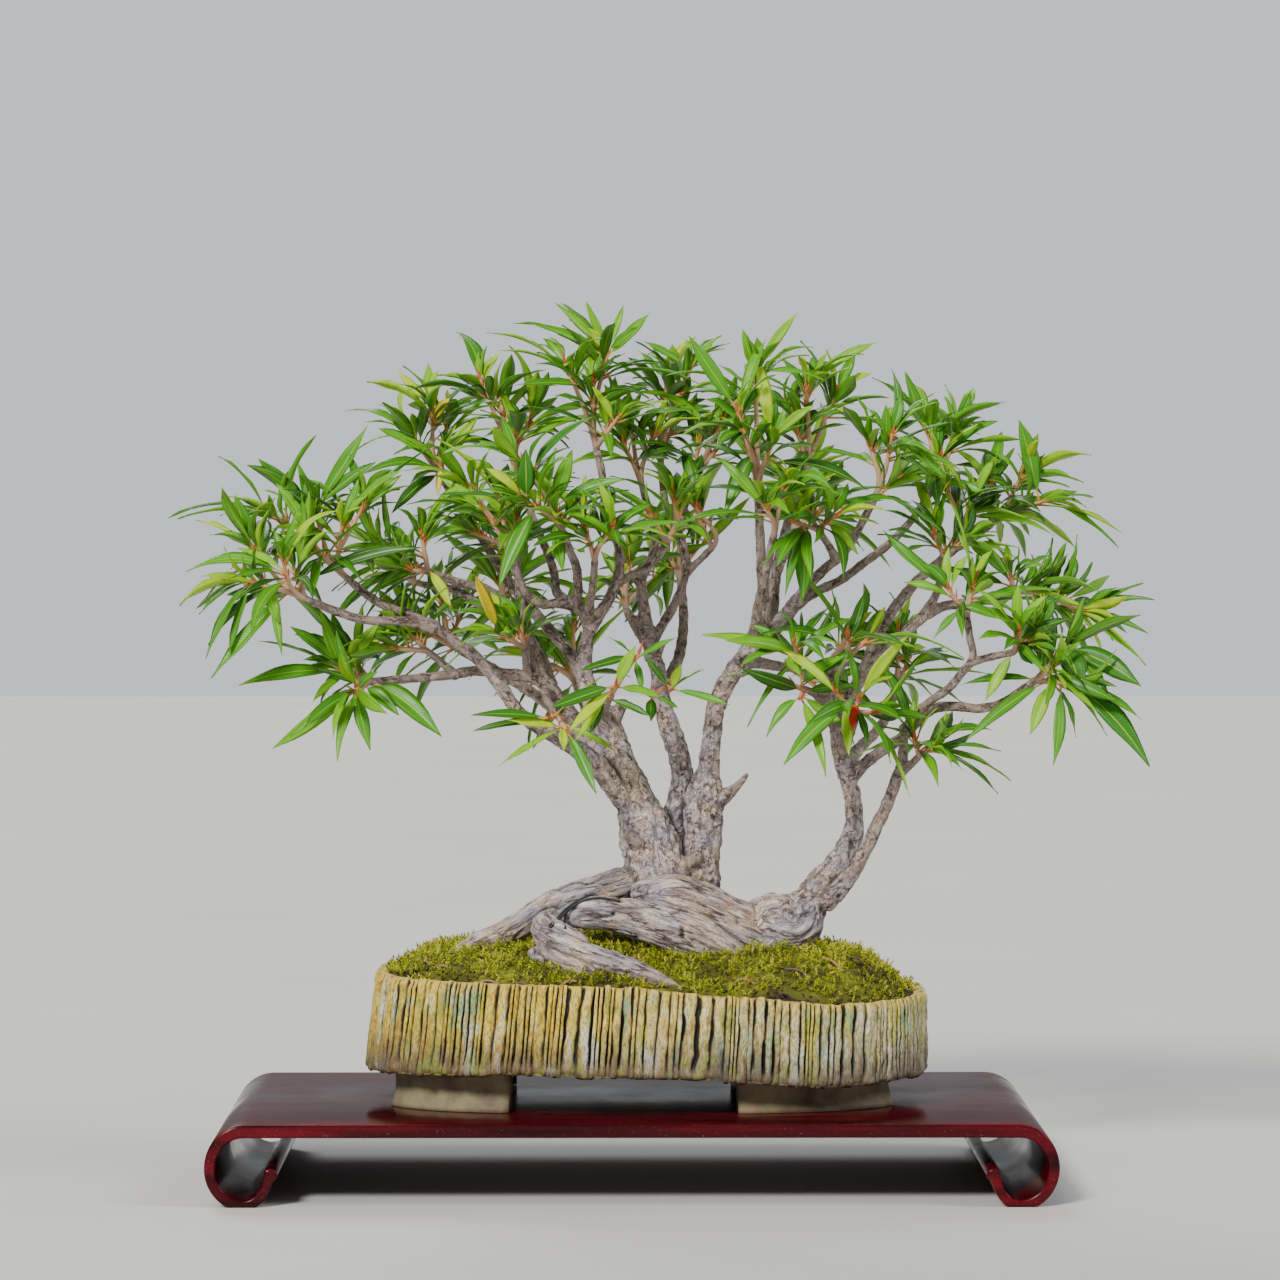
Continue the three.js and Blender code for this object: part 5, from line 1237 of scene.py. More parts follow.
def crumb(centre, size, draw):
    """A small lump of earth: a squashed cube with uneven corners."""
    corners = np.array([[x, y, z] for z in (-1, 1) for x, y in ((-1, -1), (1, -1), (1, 1), (-1, 1))], float)
    corners *= np.array([[0.5 + 0.5 * next(draw) for _ in range(3)] for _ in range(8)]) * size * 0.7
    faces = np.array([[3, 2, 1, 0], [4, 5, 6, 7], [0, 1, 5, 4], [1, 2, 6, 5], [2, 3, 7, 6], [3, 0, 4, 7]])
    return patch(corners + centre, faces)


def overgrown(x):
    """The moss creeps over the rim's inner edge at the tray's two ends."""
    return RIM_SHIFT + (x - RIM_SHIFT) * (1 + 0.035 * smoothstep(np.abs(x - RIM_SHIFT) / INNER[0], 0.6, 1.0))


def make_moss(wood):
    rings, columns = 60, 300
    x, y = ground_grid(0.985, rings, columns)
    x = overgrown(x)
    cover = mossy(x, y)
    flat = np.stack([x.ravel(), y.ravel(), np.zeros(x.size)], -1)
    clumps = rough(flat / 9, 81).reshape(x.shape)
    fluff = rough(flat / 3.2, 87, 2).reshape(x.shape)
    z = ground_height(x, y) - 4.2 + cover * (3.8 + 3.4 * clumps) + 1.0 * fluff
    z[0] -= 3
    over = np.abs(x - RIM_SHIFT) > INNER[0] - 4
    z = np.where(over, np.maximum(z, table(RIM, x) + 0.4 + 1.2 * fluff), z)
    top = np.stack([x, y, z], -1)
    under = top[::-1].copy()
    under[..., 2] -= 3.0
    grid = np.concatenate([under[-1:], top])
    caps = end_caps(len(grid), columns)
    # Painted shade: the carpet under the sprigs stays dark olive-brown, as the shadow deep in the moss, a
    # little lighter where the moss is thick.
    tone = np.concatenate([np.zeros((1, columns)), 0.04 + 0.16 * cover + 0.14 * fluff]).ravel()
    carpet = patch(grid, grid_faces(len(grid), columns), 0, caps, tone=tone)
    piece = assemble("moss_carpet", [carpet, *moss_sprigs(wood)], [MOSS])
    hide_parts("moss")


SPRIGS = 6300
SPRIG_LEAVES = 7
LEAFLET_FACES = [[0, 1, 3], [1, 2, 3], [2, 0, 3], [0, 2, 1]]  # three corners at the root, then the tip
CLEAR_OF_WOOD = 0.0035  # metres


def moss_sprigs(wood):
    """Short leaning stems with pointed leaflets, all over the moss and clear of the wood."""
    draw = np.random.default_rng(91)
    patches = []
    made = 0
    while made < SPRIGS:
        x, y = draw.uniform(-INNER[0], INNER[0]) + RIM_SHIFT, draw.uniform(-INNER[1], INNER[1])
        cover = float(mossy(np.array([x]), np.array([y]))[0])
        u, v = abs((x - RIM_SHIFT) / INNER[0]), abs(y / INNER[1])
        if (u**ROUNDNESS + v**ROUNDNESS) > 1.0 or cover < draw.uniform(0.05, 0.4):
            continue
        x = float(overgrown(x))
        clump = float(rough(np.array([[x / 9, y / 9, 0]]), 81)[0])
        z = float(ground_height(x, y)) - 3.8 + cover * (3.8 + 3.4 * clump)
        if abs(x - RIM_SHIFT) > INNER[0] - 4:
            z = max(z, float(table(RIM, x)) + 0.2)
        foot = np.array([x, y, z])
        made += 1
        _, _, _, away = wood.find_nearest(Vector(placed(foot + UP * 3)))
        if away is None or away >= CLEAR_OF_WOOD:
            patches.append(sprig(foot, draw, cover))
    return patches


def sprig(foot, draw, cover):
    turn = draw.uniform(0, 2 * np.pi)
    lean = draw.uniform(0.1, 1.2)
    long = draw.uniform(4.0, 9.0) * (0.6 + 0.4 * cover)
    axis = np.array([np.cos(turn) * np.sin(lean), np.sin(turn) * np.sin(lean), np.cos(lean)])
    side = unit(np.cross(axis, [0.3, 0.2, 1.0]))
    other = np.cross(axis, side)
    points, faces, shades = [], [], []
    patch_tone = float(knots(np.array([[foot[0] / 16, foot[1] / 16, 0.5]]), 97)[0])
    base_tone = np.clip(draw.normal(0.52 + 0.16 * patch_tone, 0.14), 0.14, 0.86)
    if draw.random() < 0.05:
        base_tone = 0.97
    for k in range(SPRIG_LEAVES):
        share = 0.25 + 0.75 * k / (SPRIG_LEAVES - 1)
        angle = k * 2.4 + turn
        out = side * np.cos(angle) + other * np.sin(angle)
        rise = 0.35 + 0.6 * share
        run = unit(out * (1 - 0.6 * share) + axis * rise)
        root = foot + axis * long * share * 0.75
        tip = root + run * long * (0.42 - 0.12 * share)
        wide = np.cross(run, axis)
        wide = wide / max(np.linalg.norm(wide), 1e-6) * draw.uniform(0.45, 0.8)
        start = len(points)
        points += [root - wide, root + wide, root - run * 0.2 + np.cross(wide, run) * 0.6, tip]
        faces += [[start + i for i in corners] for corners in LEAFLET_FACES]
        shades += [base_tone - 0.12] * 3 + [base_tone + 0.12]
    return patch(points, np.zeros((0, 4), int), 0, faces, tone=np.clip(shades, 0, 1))


# Wood


def tube_rows(rows, step, sides):
    points, radii = flowing(rows, step)
    return tube(points, radii, sides)


VOXEL = 0.00143  # facets of the bark's skin, in metres
# How fast the bark's marks change along the wood, against across it
ROOT_GRAIN = 0.2
TRUNK_GRAIN = 0.8
# Lumps and folds of the roots and of the trunk's foot
SWELLINGS = [
    [[-80, -64, 158, 6], [-70, -74, 154, 10], [-56, -80, 152, 8]],
    [[-66, -30, 184, 8], [-70, -50, 178, 10], [-62, -66, 172, 9.5], [-48, -76, 166, 8]],
    [[6, -34, 196, 8], [36, -34, 188, 9], [58, -28, 178, 9], [76, -20, 168, 9]],
    [[88, -12, 176, 14], [104, -14, 172, 13], [112, -8, 180, 14]],
]


def make_bark():
    """Roots, trunks and limbs, grown into one skin, with the relief of old bark."""
    rows = [*ROOTS.values(), *SWELLINGS, *TRUNKS.values(), *LIMBS.values(), *STUBS]
    core = assemble("bark", [tube_rows(r, 3, 20) for r in rows], [], body=None)
    skin = core.modifiers.new("skin", "REMESH")
    skin.mode = "VOXEL"
    skin.voxel_size = VOXEL
    smooth = core.modifiers.new("smooth", "SMOOTH")
    smooth.factor = 0.5
    smooth.iterations = 7
    bpy.context.view_layer.update()
    mesh = bpy.data.meshes.new_from_object(core.evaluated_get(bpy.context.evaluated_depsgraph_get()))
    core.modifiers.clear()
    core.data = mesh
    carve_bark(mesh, rows)
    mesh.materials.clear()
    mesh.materials.append(BARK)
    mesh.polygons.foreach_set("use_smooth", [True] * len(mesh.polygons))
    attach(core, "root")
    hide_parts("tree")
    return core


def carve_bark(mesh, rows):
    places, radii, runs, sides, others, lengths, owners = [], [], [], [], [], [], []
    for k, path in enumerate(rows):
        p, r = flowing(path, 2.5)
        run, side, other = frames(p)
        places.append(p)
        radii.append(r)
        runs.append(run)
        sides.append(side)
        others.append(other)
        lengths.append(along_line(p))
        owners.append(np.full(len(p), k))
    places, radii, runs, sides, others, lengths, owners = map(
        np.concatenate, (places, radii, runs, sides, others, lengths, owners)
    )
    points, normals = points_of(mesh), normals_of(mesh)
    swollen = (owners >= len(ROOTS)) & (owners < len(ROOTS) + len(SWELLINGS))
    nearest, seam = [], []
    for chunk in np.array_split(points, max(1, len(points) // 3000)):
        gap = np.linalg.norm(chunk[:, None] - places[None], axis=2) - radii[None]
        first = gap.argmin(1)
        each = np.arange(len(chunk))
        least = gap[each, first].copy()
        gap[(owners[first][:, None] == owners[None]) | swollen[None]] = 1e3
        second = gap.argmin(1)
        turn = (unit(chunk - places[first]) * unit(chunk - places[second])).sum(1)
        stout_pair = smoothstep(np.minimum(radii[first], radii[second]), 5.0, 8.0)
        close = np.exp(-(((gap[each, second] - least) / 2.4) ** 2))
        nearest.append(first)
        seam.append(close * smoothstep(-turn, -0.8, -0.35) * stout_pair * ~swollen[first])
    nearest, seam = np.concatenate(nearest), np.concatenate(seam)
    q = points - places[nearest]
    along = lengths[nearest] + (q * runs[nearest]).sum(1)
    u, w = (q * sides[nearest]).sum(1), (q * others[nearest]).sum(1)
    girth = radii[nearest]
    shift = owners[nearest] * 41.0
    rooty = (owners[nearest] < len(ROOTS) + len(SWELLINGS)).astype(float)
    grain = np.stack([u + shift, w, along * (TRUNK_GRAIN + (ROOT_GRAIN - TRUNK_GRAIN) * rooty)], axis=1)
    stout = np.clip(girth / 12, 0.18, 1.25)
    ridge = knots(grain / 4.6, 7)
    fine = rough(grain / 2.4, 9, 2)
    lumps = rough(points / 15, 11, 2)
    wrinkle = knots(np.stack([u * 0.1 + shift, w * 0.1, along / 3.2], axis=1), 13) * (1 - rooty)
    pits = smoothstep(knots(points / 8, 17), 0.66, 0.9)
    fissure = np.exp(-((ridge / 0.16) ** 2)) * smoothstep(knots(points / 22, 19), -0.55, 0.15)
    raised = 1.3 * lumps + 0.6 * ridge + 0.5 * fine + 0.7 * wrinkle
    relief = raised - (1.1 + 0.5 * rooty) * fissure - 1.6 * pits
    move_points(mesh, points + normals * (stout * relief - 1.8 * seam)[:, None])
    write_mark(mesh, "grain", grain)
    write_mark(mesh, "girth", girth)
    # Dark bark cracks and pits, joined below by painted shade in the creases between stout pieces.
    crack = np.clip(fissure * 0.6 + pits * 0.8 + smoothstep(-ridge, 0.6, 0.95) * 0.25, 0, 1)
    # Painted shade: the creases where two stout pieces of wood meet are darkened, as shade falls in them.
    seam_shade = 0.85 * seam * smoothstep(knots(points / 7, 23), -0.9, 0.1)
    crack = np.maximum(crack * smoothstep(girth, 3.5, 9), seam_shade)
    write_mark(mesh, "crack", crack)


def make_branches():
    """The thin branches, each with a swollen collar where it leaves its limb."""
    patches = []
    for k, spray in enumerate(SPRAYS.values()):
        points, radii = flowing(spray["branch"], 2.2)
        length = along_line(points)
        radii = radii * (1 + 0.3 * np.clip(1 - length / 9, 0, 1) ** 2)
        draw = lottery(300 + k)
        at = 6.0
        while at < length[-1]:
            radii = radii * (1 + 0.13 * np.exp(-(((length - at) / 1.5) ** 2)))
            at += 9 + 8 * next(draw)
        made = tube(points, radii, 12, girth=radii)
        grain = made["marks"]["grain"]
        centre = np.repeat(domed(points, radii, {})[0], 12, axis=0)
        out = made["points"] - centre
        bumps = 0.09 * rough(grain / 2.4, 23, 2) + 0.05 * knots(made["points"] / 6, 29)
        made["points"] = centre + out * (1 + bumps)[:, None]
        made["marks"]["crack"] = 0.5 * smoothstep(-bumps, 0.05, 0.12)
        patches.append(made)
    piece = assemble("branches", patches, [BARK])


# The strands of the tie in the front view, as x and height
WIRE_ROWS = [
    [-20, 198], [-28, 199.5], [-36, 200], [-43, 199], [-50, 196], [-57, 191], [-63, 185], [-69, 179],
]
SIDE_WIRE_ROWS = [[-46, 198], [-53, 194], [-57, 188], [-58.5, 182], [-58, 177]]


def make_wire(wood):
    """Two black strands side by side over the roots, and a third that drops between them."""
    strands = [
        pressed(WIRE_ROWS, wood, 0.0, 0.0), pressed(WIRE_ROWS, wood, 1.5, -1.7),
        pressed(SIDE_WIRE_ROWS, wood, 0.0, 0.0),
    ]
    piece = assemble("tie_strands", [tube(p, np.full(len(p), 0.95), 10) for p in strands], [CABLE])
    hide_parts("tie_wire")


def pressed(rows, wood, across, down):
    """The line of a wire in the front view, laid on the wood behind it."""
    laid = []
    for x, height in rows:
        start = seen(x + across * 0.3, -400, height + down)
        aim = unit(start - EYE)
        hit, _, _, _ = wood.ray_cast(Vector(placed(start)), Vector(aim))
        if hit is None:
            laid.append(seen(x, -60, height))
            continue
        laid.append(np.array(hit) * 1000 - SHIFT - aim * 0.8)
    laid = np.array(laid)
    laid[1:-1, 1] = np.minimum(laid[1:-1, 1], (laid[:-2, 1] + laid[2:, 1]) / 2 + 1.0)
    points, _ = flowing_line(np.column_stack([laid, np.ones(len(laid))]), 1.2)
    return points


# Sprays of leaves

# Leaves that the front view shows clearly. Each row: x and height of its base and of its tip, its
# breadth, the depths of both ends, its arch, its tint, and 1 where it is seen edge-on. A tint above 1
# is a yellow leaf, and above 2 a red one.
FEATURE_LEAVES = {
    "a06": [
        [-215, 357, -290, 351, 11.5, -46, -60, 4, 0.5, 0],
        [-214, 356, -239, 338, 6.5, -50, -66, 2, 0.6, 0], [-213, 351, -252, 311, 8, -56, -74, 4, 0.6, 0],
        [-211, 346, -243, 319, 10.5, -58, -80, 3, 0.35, 0],
        [-209, 351, -198, 303, 10, -58, -76, 2, 0.45, 0],
        [-198, 348, -177, 327, 11.5, -56, -66, 3, 0.4, 0],
        [-191, 351, -147, 311, 15.5, -56, -70, 6, 0.45, 0],
        [-210, 365, -191, 396, 10, -46, -50, 1, 0.7, 0],
        [-209, 365, -179, 392, 5.5, -44, -30, 1, 0.85, 0],
        [-211, 365, -255, 390, 8.5, -40, -40, 4, 0.5, 0], [-214, 363, -276, 381, 8, -40, -30, 4, 0.3, 1],
        [-225, 367, -233, 402, 10, -30, -34, 0, 0.6, 0], [-214, 373, -225, 402, 7, -14, -8, 0, 0.55, 0],
    ],
    "a04": [
        [-258, 406, -308, 353, 10.5, -84, -100, 4, 0.5, 0],
        [-270, 418, -262, 392, 9, -90, -100, 1, 0.6, 0], [-266, 417, -259, 370, 6.5, -84, -92, 2, 0.6, 0],
        [-274, 424, -317, 427, 7, -92, -112, 2, 0.85, 0], [-282, 416, -315, 368, 8, -90, -110, 6, 0.4, 1],
        [-283, 412, -297, 370, 8, -80, -92, 4, 0.4, 1], [-298, 419, -318, 400, 8, -86, -98, 3, 0.45, 1],
        [-277, 449, -293, 484, 11.5, -66, -70, 0, 0.45, 0],
        [-261, 486, -342, 468, 8, -60, -80, 8, 0.3, 1],
    ],
    "a05": [
        [-263, 489, -304, 512, 8, -30, -40, 6, 0.4, 1], [-245, 482, -278, 509, 10.5, -34, -40, 1, 0.4, 0],
        [-236, 490, -197, 533, 10, -24, -24, 0, 0.5, 0], [-240, 490, -249, 507, 8, -26, -28, 0, 0.55, 0],
        [-227, 487, -192, 508, 8.5, -24, -30, 3, 0.4, 0], [-198, 486, -211, 514, 8, -20, -20, 0, 0.35, 0],
        [-233, 426, -160, 448, 9, -70, -80, 6, 0.15, 0], [-196, 469, -174, 499, 7, -20, -20, 1, 0.6, 0],
    ],
    "a12": [
        [-86, 481, -86, 517, 13, -88, -96, 0, 0.3, 0], [-62, 482, -54, 517, 11.5, -82, -84, 0, 0.6, 0],
        [-58, 481, -15, 496, 9, -80, -86, 4, 0.45, 0], [-64, 471, -13, 445, 10, -86, -104, 6, 0.6, 0],
        [-84, 466, -106, 419, 13, -90, -104, 4, 0.45, 0], [-64, 466, -60, 429, 9, -88, -98, 1, 0.5, 0],
        [-125, 400, -124, 429, 10.5, -60, -66, 0, 1.2, 0],
    ],
    "a14": [
        [-42, 591, -64, 622, 7, 16, 6, 0, 0.65, 0], [-35, 601, -45, 621, 6.5, 30, 24, 1, 0.7, 0],
        [-33, 599, -16, 619, 5.5, 34, 36, 1, 0.7, 0], [-17, 580, 4, 613, 9, 30, 20, 1, 0.6, 0],
        [-29, 587, -41, 603, 8, 26, 18, 0, 0.9, 0], [-24, 585, -5, 603, 8, 26, 18, 1, 0.5, 0],
        [-40, 587, -83, 607, 5.5, 18, 6, 4, 0.55, 0], [-38, 587, -96, 606, 8, 26, 20, 6, 0.45, 1],
        [-38, 562, -94, 560, 7, 10, 0, 4, 0.4, 0], [-13, 528, -38, 562, 9, 6, -4, 0, 0.9, 0],
        [-33, 535, -36, 558, 8, 10, 0, 0, 0.7, 0],
    ],
    "c01": [
        [78, 518, 55, 468, 13.5, -64, -76, 6, 0.4, 0], [67, 545, 28, 596, 10.5, -76, -84, 2, 0.5, 0],
        [82, 467, 52, 466, 8, -66, -70, 3, 0.5, 1], [87, 524, 119, 548, 7, -76, -84, 3, 0.75, 0],
        [78, 575, 106, 614, 7, -50, -54, 2, 0.75, 0], [77, 576, 67, 602, 8, -50, -56, 0, 0.6, 0],
        [80, 573, 127, 567, 5.5, -50, -60, 4, 0.5, 0],
    ],
    "c02": [
        [114, 563, 164, 592, 8, 10, 10, 4, 0.7, 0], [135, 560, 148, 586, 8, 26, 24, 0, 0.55, 0],
    ],
    "b04": [
        [14, 566, -5, 587, 6.5, 92, 90, 0, 0.5, 0], [30, 573, -3, 593, 5.5, 72, 70, 2, 0.5, 0],
    ],
    "b06": [
        [23, 492, 38, 514, 10.5, 58, 56, 0, 0.35, 0],
    ],
    "d08": [
        [300, 340, 359, 293, 17, -70, -90, 6, 0.3, 0], [301, 345, 352, 325, 8, -66, -80, 4, 0.4, 0],
        [293, 340, 292, 292, 9, -72, -86, 0, 0.5, 0], [284, 345, 227, 309, 9, -70, -84, 4, 0.45, 0],
        [286, 350, 273, 314, 10, -60, -66, 1, 0.8, 0], [279, 352, 223, 349, 6.5, -60, -66, 4, 0.3, 0],
        [297, 387, 310, 346, 18.5, -66, -84, 3, 0.35, 0], [308, 389, 329, 344, 11.5, -60, -76, 4, 0.4, 0],
        [321, 372, 352, 349, 17, -60, -76, 4, 0.3, 0], [296, 349, 335, 348, 6.5, -74, -86, 3, 0.35, 0],
        [265, 367, 240, 338, 9, -50, -56, 2, 0.8, 0], [257, 383, 273, 365, 13.5, -56, -62, 2, 0.25, 0],
    ],
    "d04": [
        [308, 400, 335, 420, 6.5, 20, 10, 2, 0.4, 0], [318, 400, 353, 421, 5, 20, 8, 2, 0.35, 0],
        [318, 399, 361, 411, 5.5, 14, 2, 4, 0.3, 0], [319, 375, 357, 384, 5.5, 10, 0, 4, 0.35, 0],
        [328, 382, 349, 369, 6.5, 6, 0, 2, 0.6, 0],
    ],
    "d06": [
        [279, 481, 264, 538, 13, 58, 52, 3, 0.45, 0], [268, 502, 277, 529, 9, 62, 60, 0, 0.5, 0],
        [282, 477, 335, 446, 5, 50, 46, 7, 0.4, 0], [283, 479, 317, 483, 8, 50, 52, 3, 0.4, 1],
    ],
    "c05": [
        [221, 534, 230, 557, 8, 44, 42, 0, 0.4, 0], [197, 538, 182, 572, 8.5, 40, 36, 0, 0.45, 0],
    ],
    "c03": [
        [175, 513, 169, 549, 9, -54, -60, 0, 0.5, 0], [174, 529, 211, 495, 10.5, -56, -66, 4, 0.45, 0],
    ],
    "c04": [
        [112, 460, 101, 433, 8.5, -72, -84, 2, 0.5, 0], [108, 449, 113, 409, 13.5, -76, -88, 1, 0.4, 0],
        [123, 467, 150, 442, 8.5, -70, -82, 3, 0.7, 0],
    ],
    "d02": [
        [108, 339, 84, 314, 8, -44, -54, 4, 0.5, 0], [113, 365, 72, 319, 5.5, -46, -56, 7, 0.45, 0],
    ],
    "d14": [
        [147, 336, 145, 318, 7, -86, -94, 0, 2.2, 0],
        [144, 331, 96, 294, 11.5, -84, -96, 4, 0.5, 0], [145, 339, 144, 299, 8, -84, -92, 0, 0.8, 0],
        [158, 335, 183, 334, 8.5, -80, -92, 3, 0.5, 0],
    ],
    "d09": [
        [192, 309, 225, 290, 9, -56, -68, 4, 0.45, 0],
    ],
    "d10": [
        [226, 405, 204, 382, 5.5, -64, -70, 2, 0.5, 0],
    ],
    "a10": [
        [-167, 553, -178, 572, 7, 44, 40, 0, 0.99, 0], [-155, 537, -140, 554, 8, 44, 40, 1, 1.2, 0],
        [-152, 503, -149, 484, 5, 30, 28, 1, 1.2, 0],
    ],
    "a16": [[-128, 433, -138, 403, 8, -50, -56, 2, 0.98, 0]],
}

SWING = [0, 0.22, -0.22, 0.44, -0.44, 0.16, -0.16, 0.66, -0.66, 0.34, -0.34, 0.9]
TILT = [0, 0, 0, 0, 0, -0.3, -0.3, -0.12, -0.12, 0.25, 0.25, -0.4]
STATIONS = np.array([0, 0.05, 0.1, 0.14, 0.2, 0.28, 0.37, 0.47, 0.57, 0.67, 0.77, 0.86, 0.93, 1.0])
BREADTH = np.array([0.05, 0.05, 0.06, 0.14, 0.44, 0.74, 0.92, 1.0, 0.99, 0.9, 0.7, 0.43, 0.22, 0.03])
SLIM = 0.84  # breadth of a leaf, as a share of its solid's
THICKNESS = np.array([0.85, 0.75, 0.7, 0.55, 0.36, 0.3, 0.3, 0.3, 0.3, 0.28, 0.25, 0.2, 0.14, 0.03])
ACROSS = np.array([1, 0.5, 0, -0.5, -1, 0])
BELOW = np.array([0, 0, 0, 0, 0, 1.0])
STALK = 0.75  # half breadth of a leaf's stalk
LEAF_SINK = 0.2
SAME_PLACE = 0.0001  # metres
PROBES = [0.3, 0.45, 0.6, 0.75, 0.9, 1.0]  # shares of a leaf where its room is measured
LEAF_REACH = 90
EXTRA_LEAVES = 4
SMALL_ROSETTE = 10  # a shoot with more leaves than this has each of them placed one by one
# Gaps of the crown that no extra leaf covers: middle x and height, half width and half height
OPENINGS = [
    [56, 440, 24, 62], [24, 300, 40, 50], [100, 300, 34, 80], [40, 372, 26, 30], [134, 420, 22, 16],
    [206, 402, 18, 24],
]
# Places whose shoots have few leaves: x, height, half width and half height
SPARSE = [[128, 350, 44, 40], [20, 470, 30, 12]]


def large_leaves(leaves):
    return 5 if leaves > 10 else 3 if leaves > 8 else 2


def shoots_of(index, spray):
    """The shoots of a spray, as the solids have them."""
    points = np.array([seen(*row[:3]) for row in spray["branch"]])
    run = unit(points[-1] - points[-2])
    start = points[-1] + run * 0.3
    radius = spray["branch"][-1][3]
    for i, (x, depth, height, leaves) in enumerate(spray["tips"]):
        tip = seen(x, depth, height)
        long = float(np.linalg.norm(start - tip))
        bend = start + run * TWIG["reach"] * long
        middle = 0.25 * start + 0.5 * bend + 0.25 * tip
        out = unit(tip - CROWN)
        axis = unit(unit(tip - middle) * 0.7 + out * 0.25 + UP * 0.3)
        back = start if long < TWIG["straight"] else middle
        yield {
            "start": start, "bend": bend, "middle": middle, "tip": tip, "back": back, "axis": axis,
            "dir": unit(tip - back), "room": min(LEAF_SPREAD, 0.85 * float(np.linalg.norm(tip - back))),
            "leaves": leaves, "radius": radius, "seed": index * 50 + i * 7 + 1,
            "short": long < TWIG["straight"],
        }


def leaf_pose(shoot, j, attempt):
    draw = lottery(shoot["seed"] * 31 + j * 3 + 5)
    next(draw)
    level = (j * 0.618034 + 0.1) % 1
    turn = j * GOLDEN + shoot["seed"] + 0.5 * (next(draw) - 0.5) + SWING[attempt]
    opening = 1.38 - 0.85 * level + 0.3 * (next(draw) - 0.5) + TILT[attempt]
    long = 58 + 20 * next(draw) if j < 3 else 44 + 24 * next(draw)
    wide = long * (0.135 + 0.055 * next(draw))
    sag = 0.05 + 0.2 * next(draw)
    roll = 0.9 * (next(draw) - 0.5)
    axis = shoot["axis"]
    side = unit(np.cross(axis, np.array([1.0, 0, 0]) if abs(axis[2]) > 0.95 else UP))
    other = np.cross(axis, side)
    out = side * np.cos(turn) + other * np.sin(turn)
    run = unit(axis * np.cos(opening) + out * np.sin(opening))
    base = shoot["tip"] - shoot["dir"] * (1 - level) * shoot["room"]
    face = unit(axis - run * axis.dot(run))
    face = face * np.cos(roll) + np.cross(run, face) * np.sin(roll)
    reach = long * (1 - 0.025 * attempt)
    return {
        "base": base, "run": run, "face": face, "long": reach, "wide": wide, "sag": long * sag,
        "level": level,
    }


def middle_line(pose, t):
    t = np.asarray(t, float)[:, None]
    return pose["base"] + pose["run"] * pose["long"] * t - UP * pose["sag"] * t * t


def placed_leaf(shoot, row, j):
    """A leaf of a shoot whose leaves are placed one by one, as the solids have it."""
    _, x, depth, height, wide, sag, edge, tint = row
    base = shoot["tip"] - shoot["dir"] * (1 + 1.6 * j)
    return leaf_between(base, seen(x, depth, height), wide, sag, edge, tint)


def feature_leaf(row, twigs):
    """A leaf that the front view shows clearly. Its stalk springs from the twig that is nearest there."""
    x0, height0, x1, height1, wide, depth0, depth1, arch, tint, edge = row
    base, tip = seen(x0, depth0, height0), seen(x1, depth1, height1)
    away = (twigs - base) * np.array([1, 0.35, 1])
    found = twigs[(away**2).sum(1).argmin()]
    tip = tip + np.array([0, 0.7 * (found[1] - base[1]), 0])
    return leaf_between(found, tip, wide, 4 * arch, edge, tint)


def twig_line(shoot):
    """The line of a young twig, from its branch to the bud."""
    if shoot["short"]:
        return np.linspace(shoot["start"], shoot["tip"], 12)
    t = np.linspace(0, 0.5, 7)[:, None]
    first = (1 - t) ** 2 * shoot["start"] + 2 * t * (1 - t) * shoot["bend"] + t * t * shoot["tip"]
    return np.vstack([first, np.linspace(shoot["middle"], shoot["tip"], 9)[1:]])


def leaf_between(base, tip, wide, sag, edge, tint):
    reach = tip - base + UP * sag
    face = UP if edge else np.array([0.05, -0.82, 0.57])
    run = unit(reach)
    face = unit(face - run * run.dot(face))
    long = float(np.linalg.norm(reach))
    return {
        "base": base, "run": run, "face": face, "long": long, "wide": wide / SLIM, "sag": sag, "level": 0.5,
        "tint": min(tint, 1.0), "ripe": float(math.ceil(max(0.0, tint - 1))), "still": True,
    }


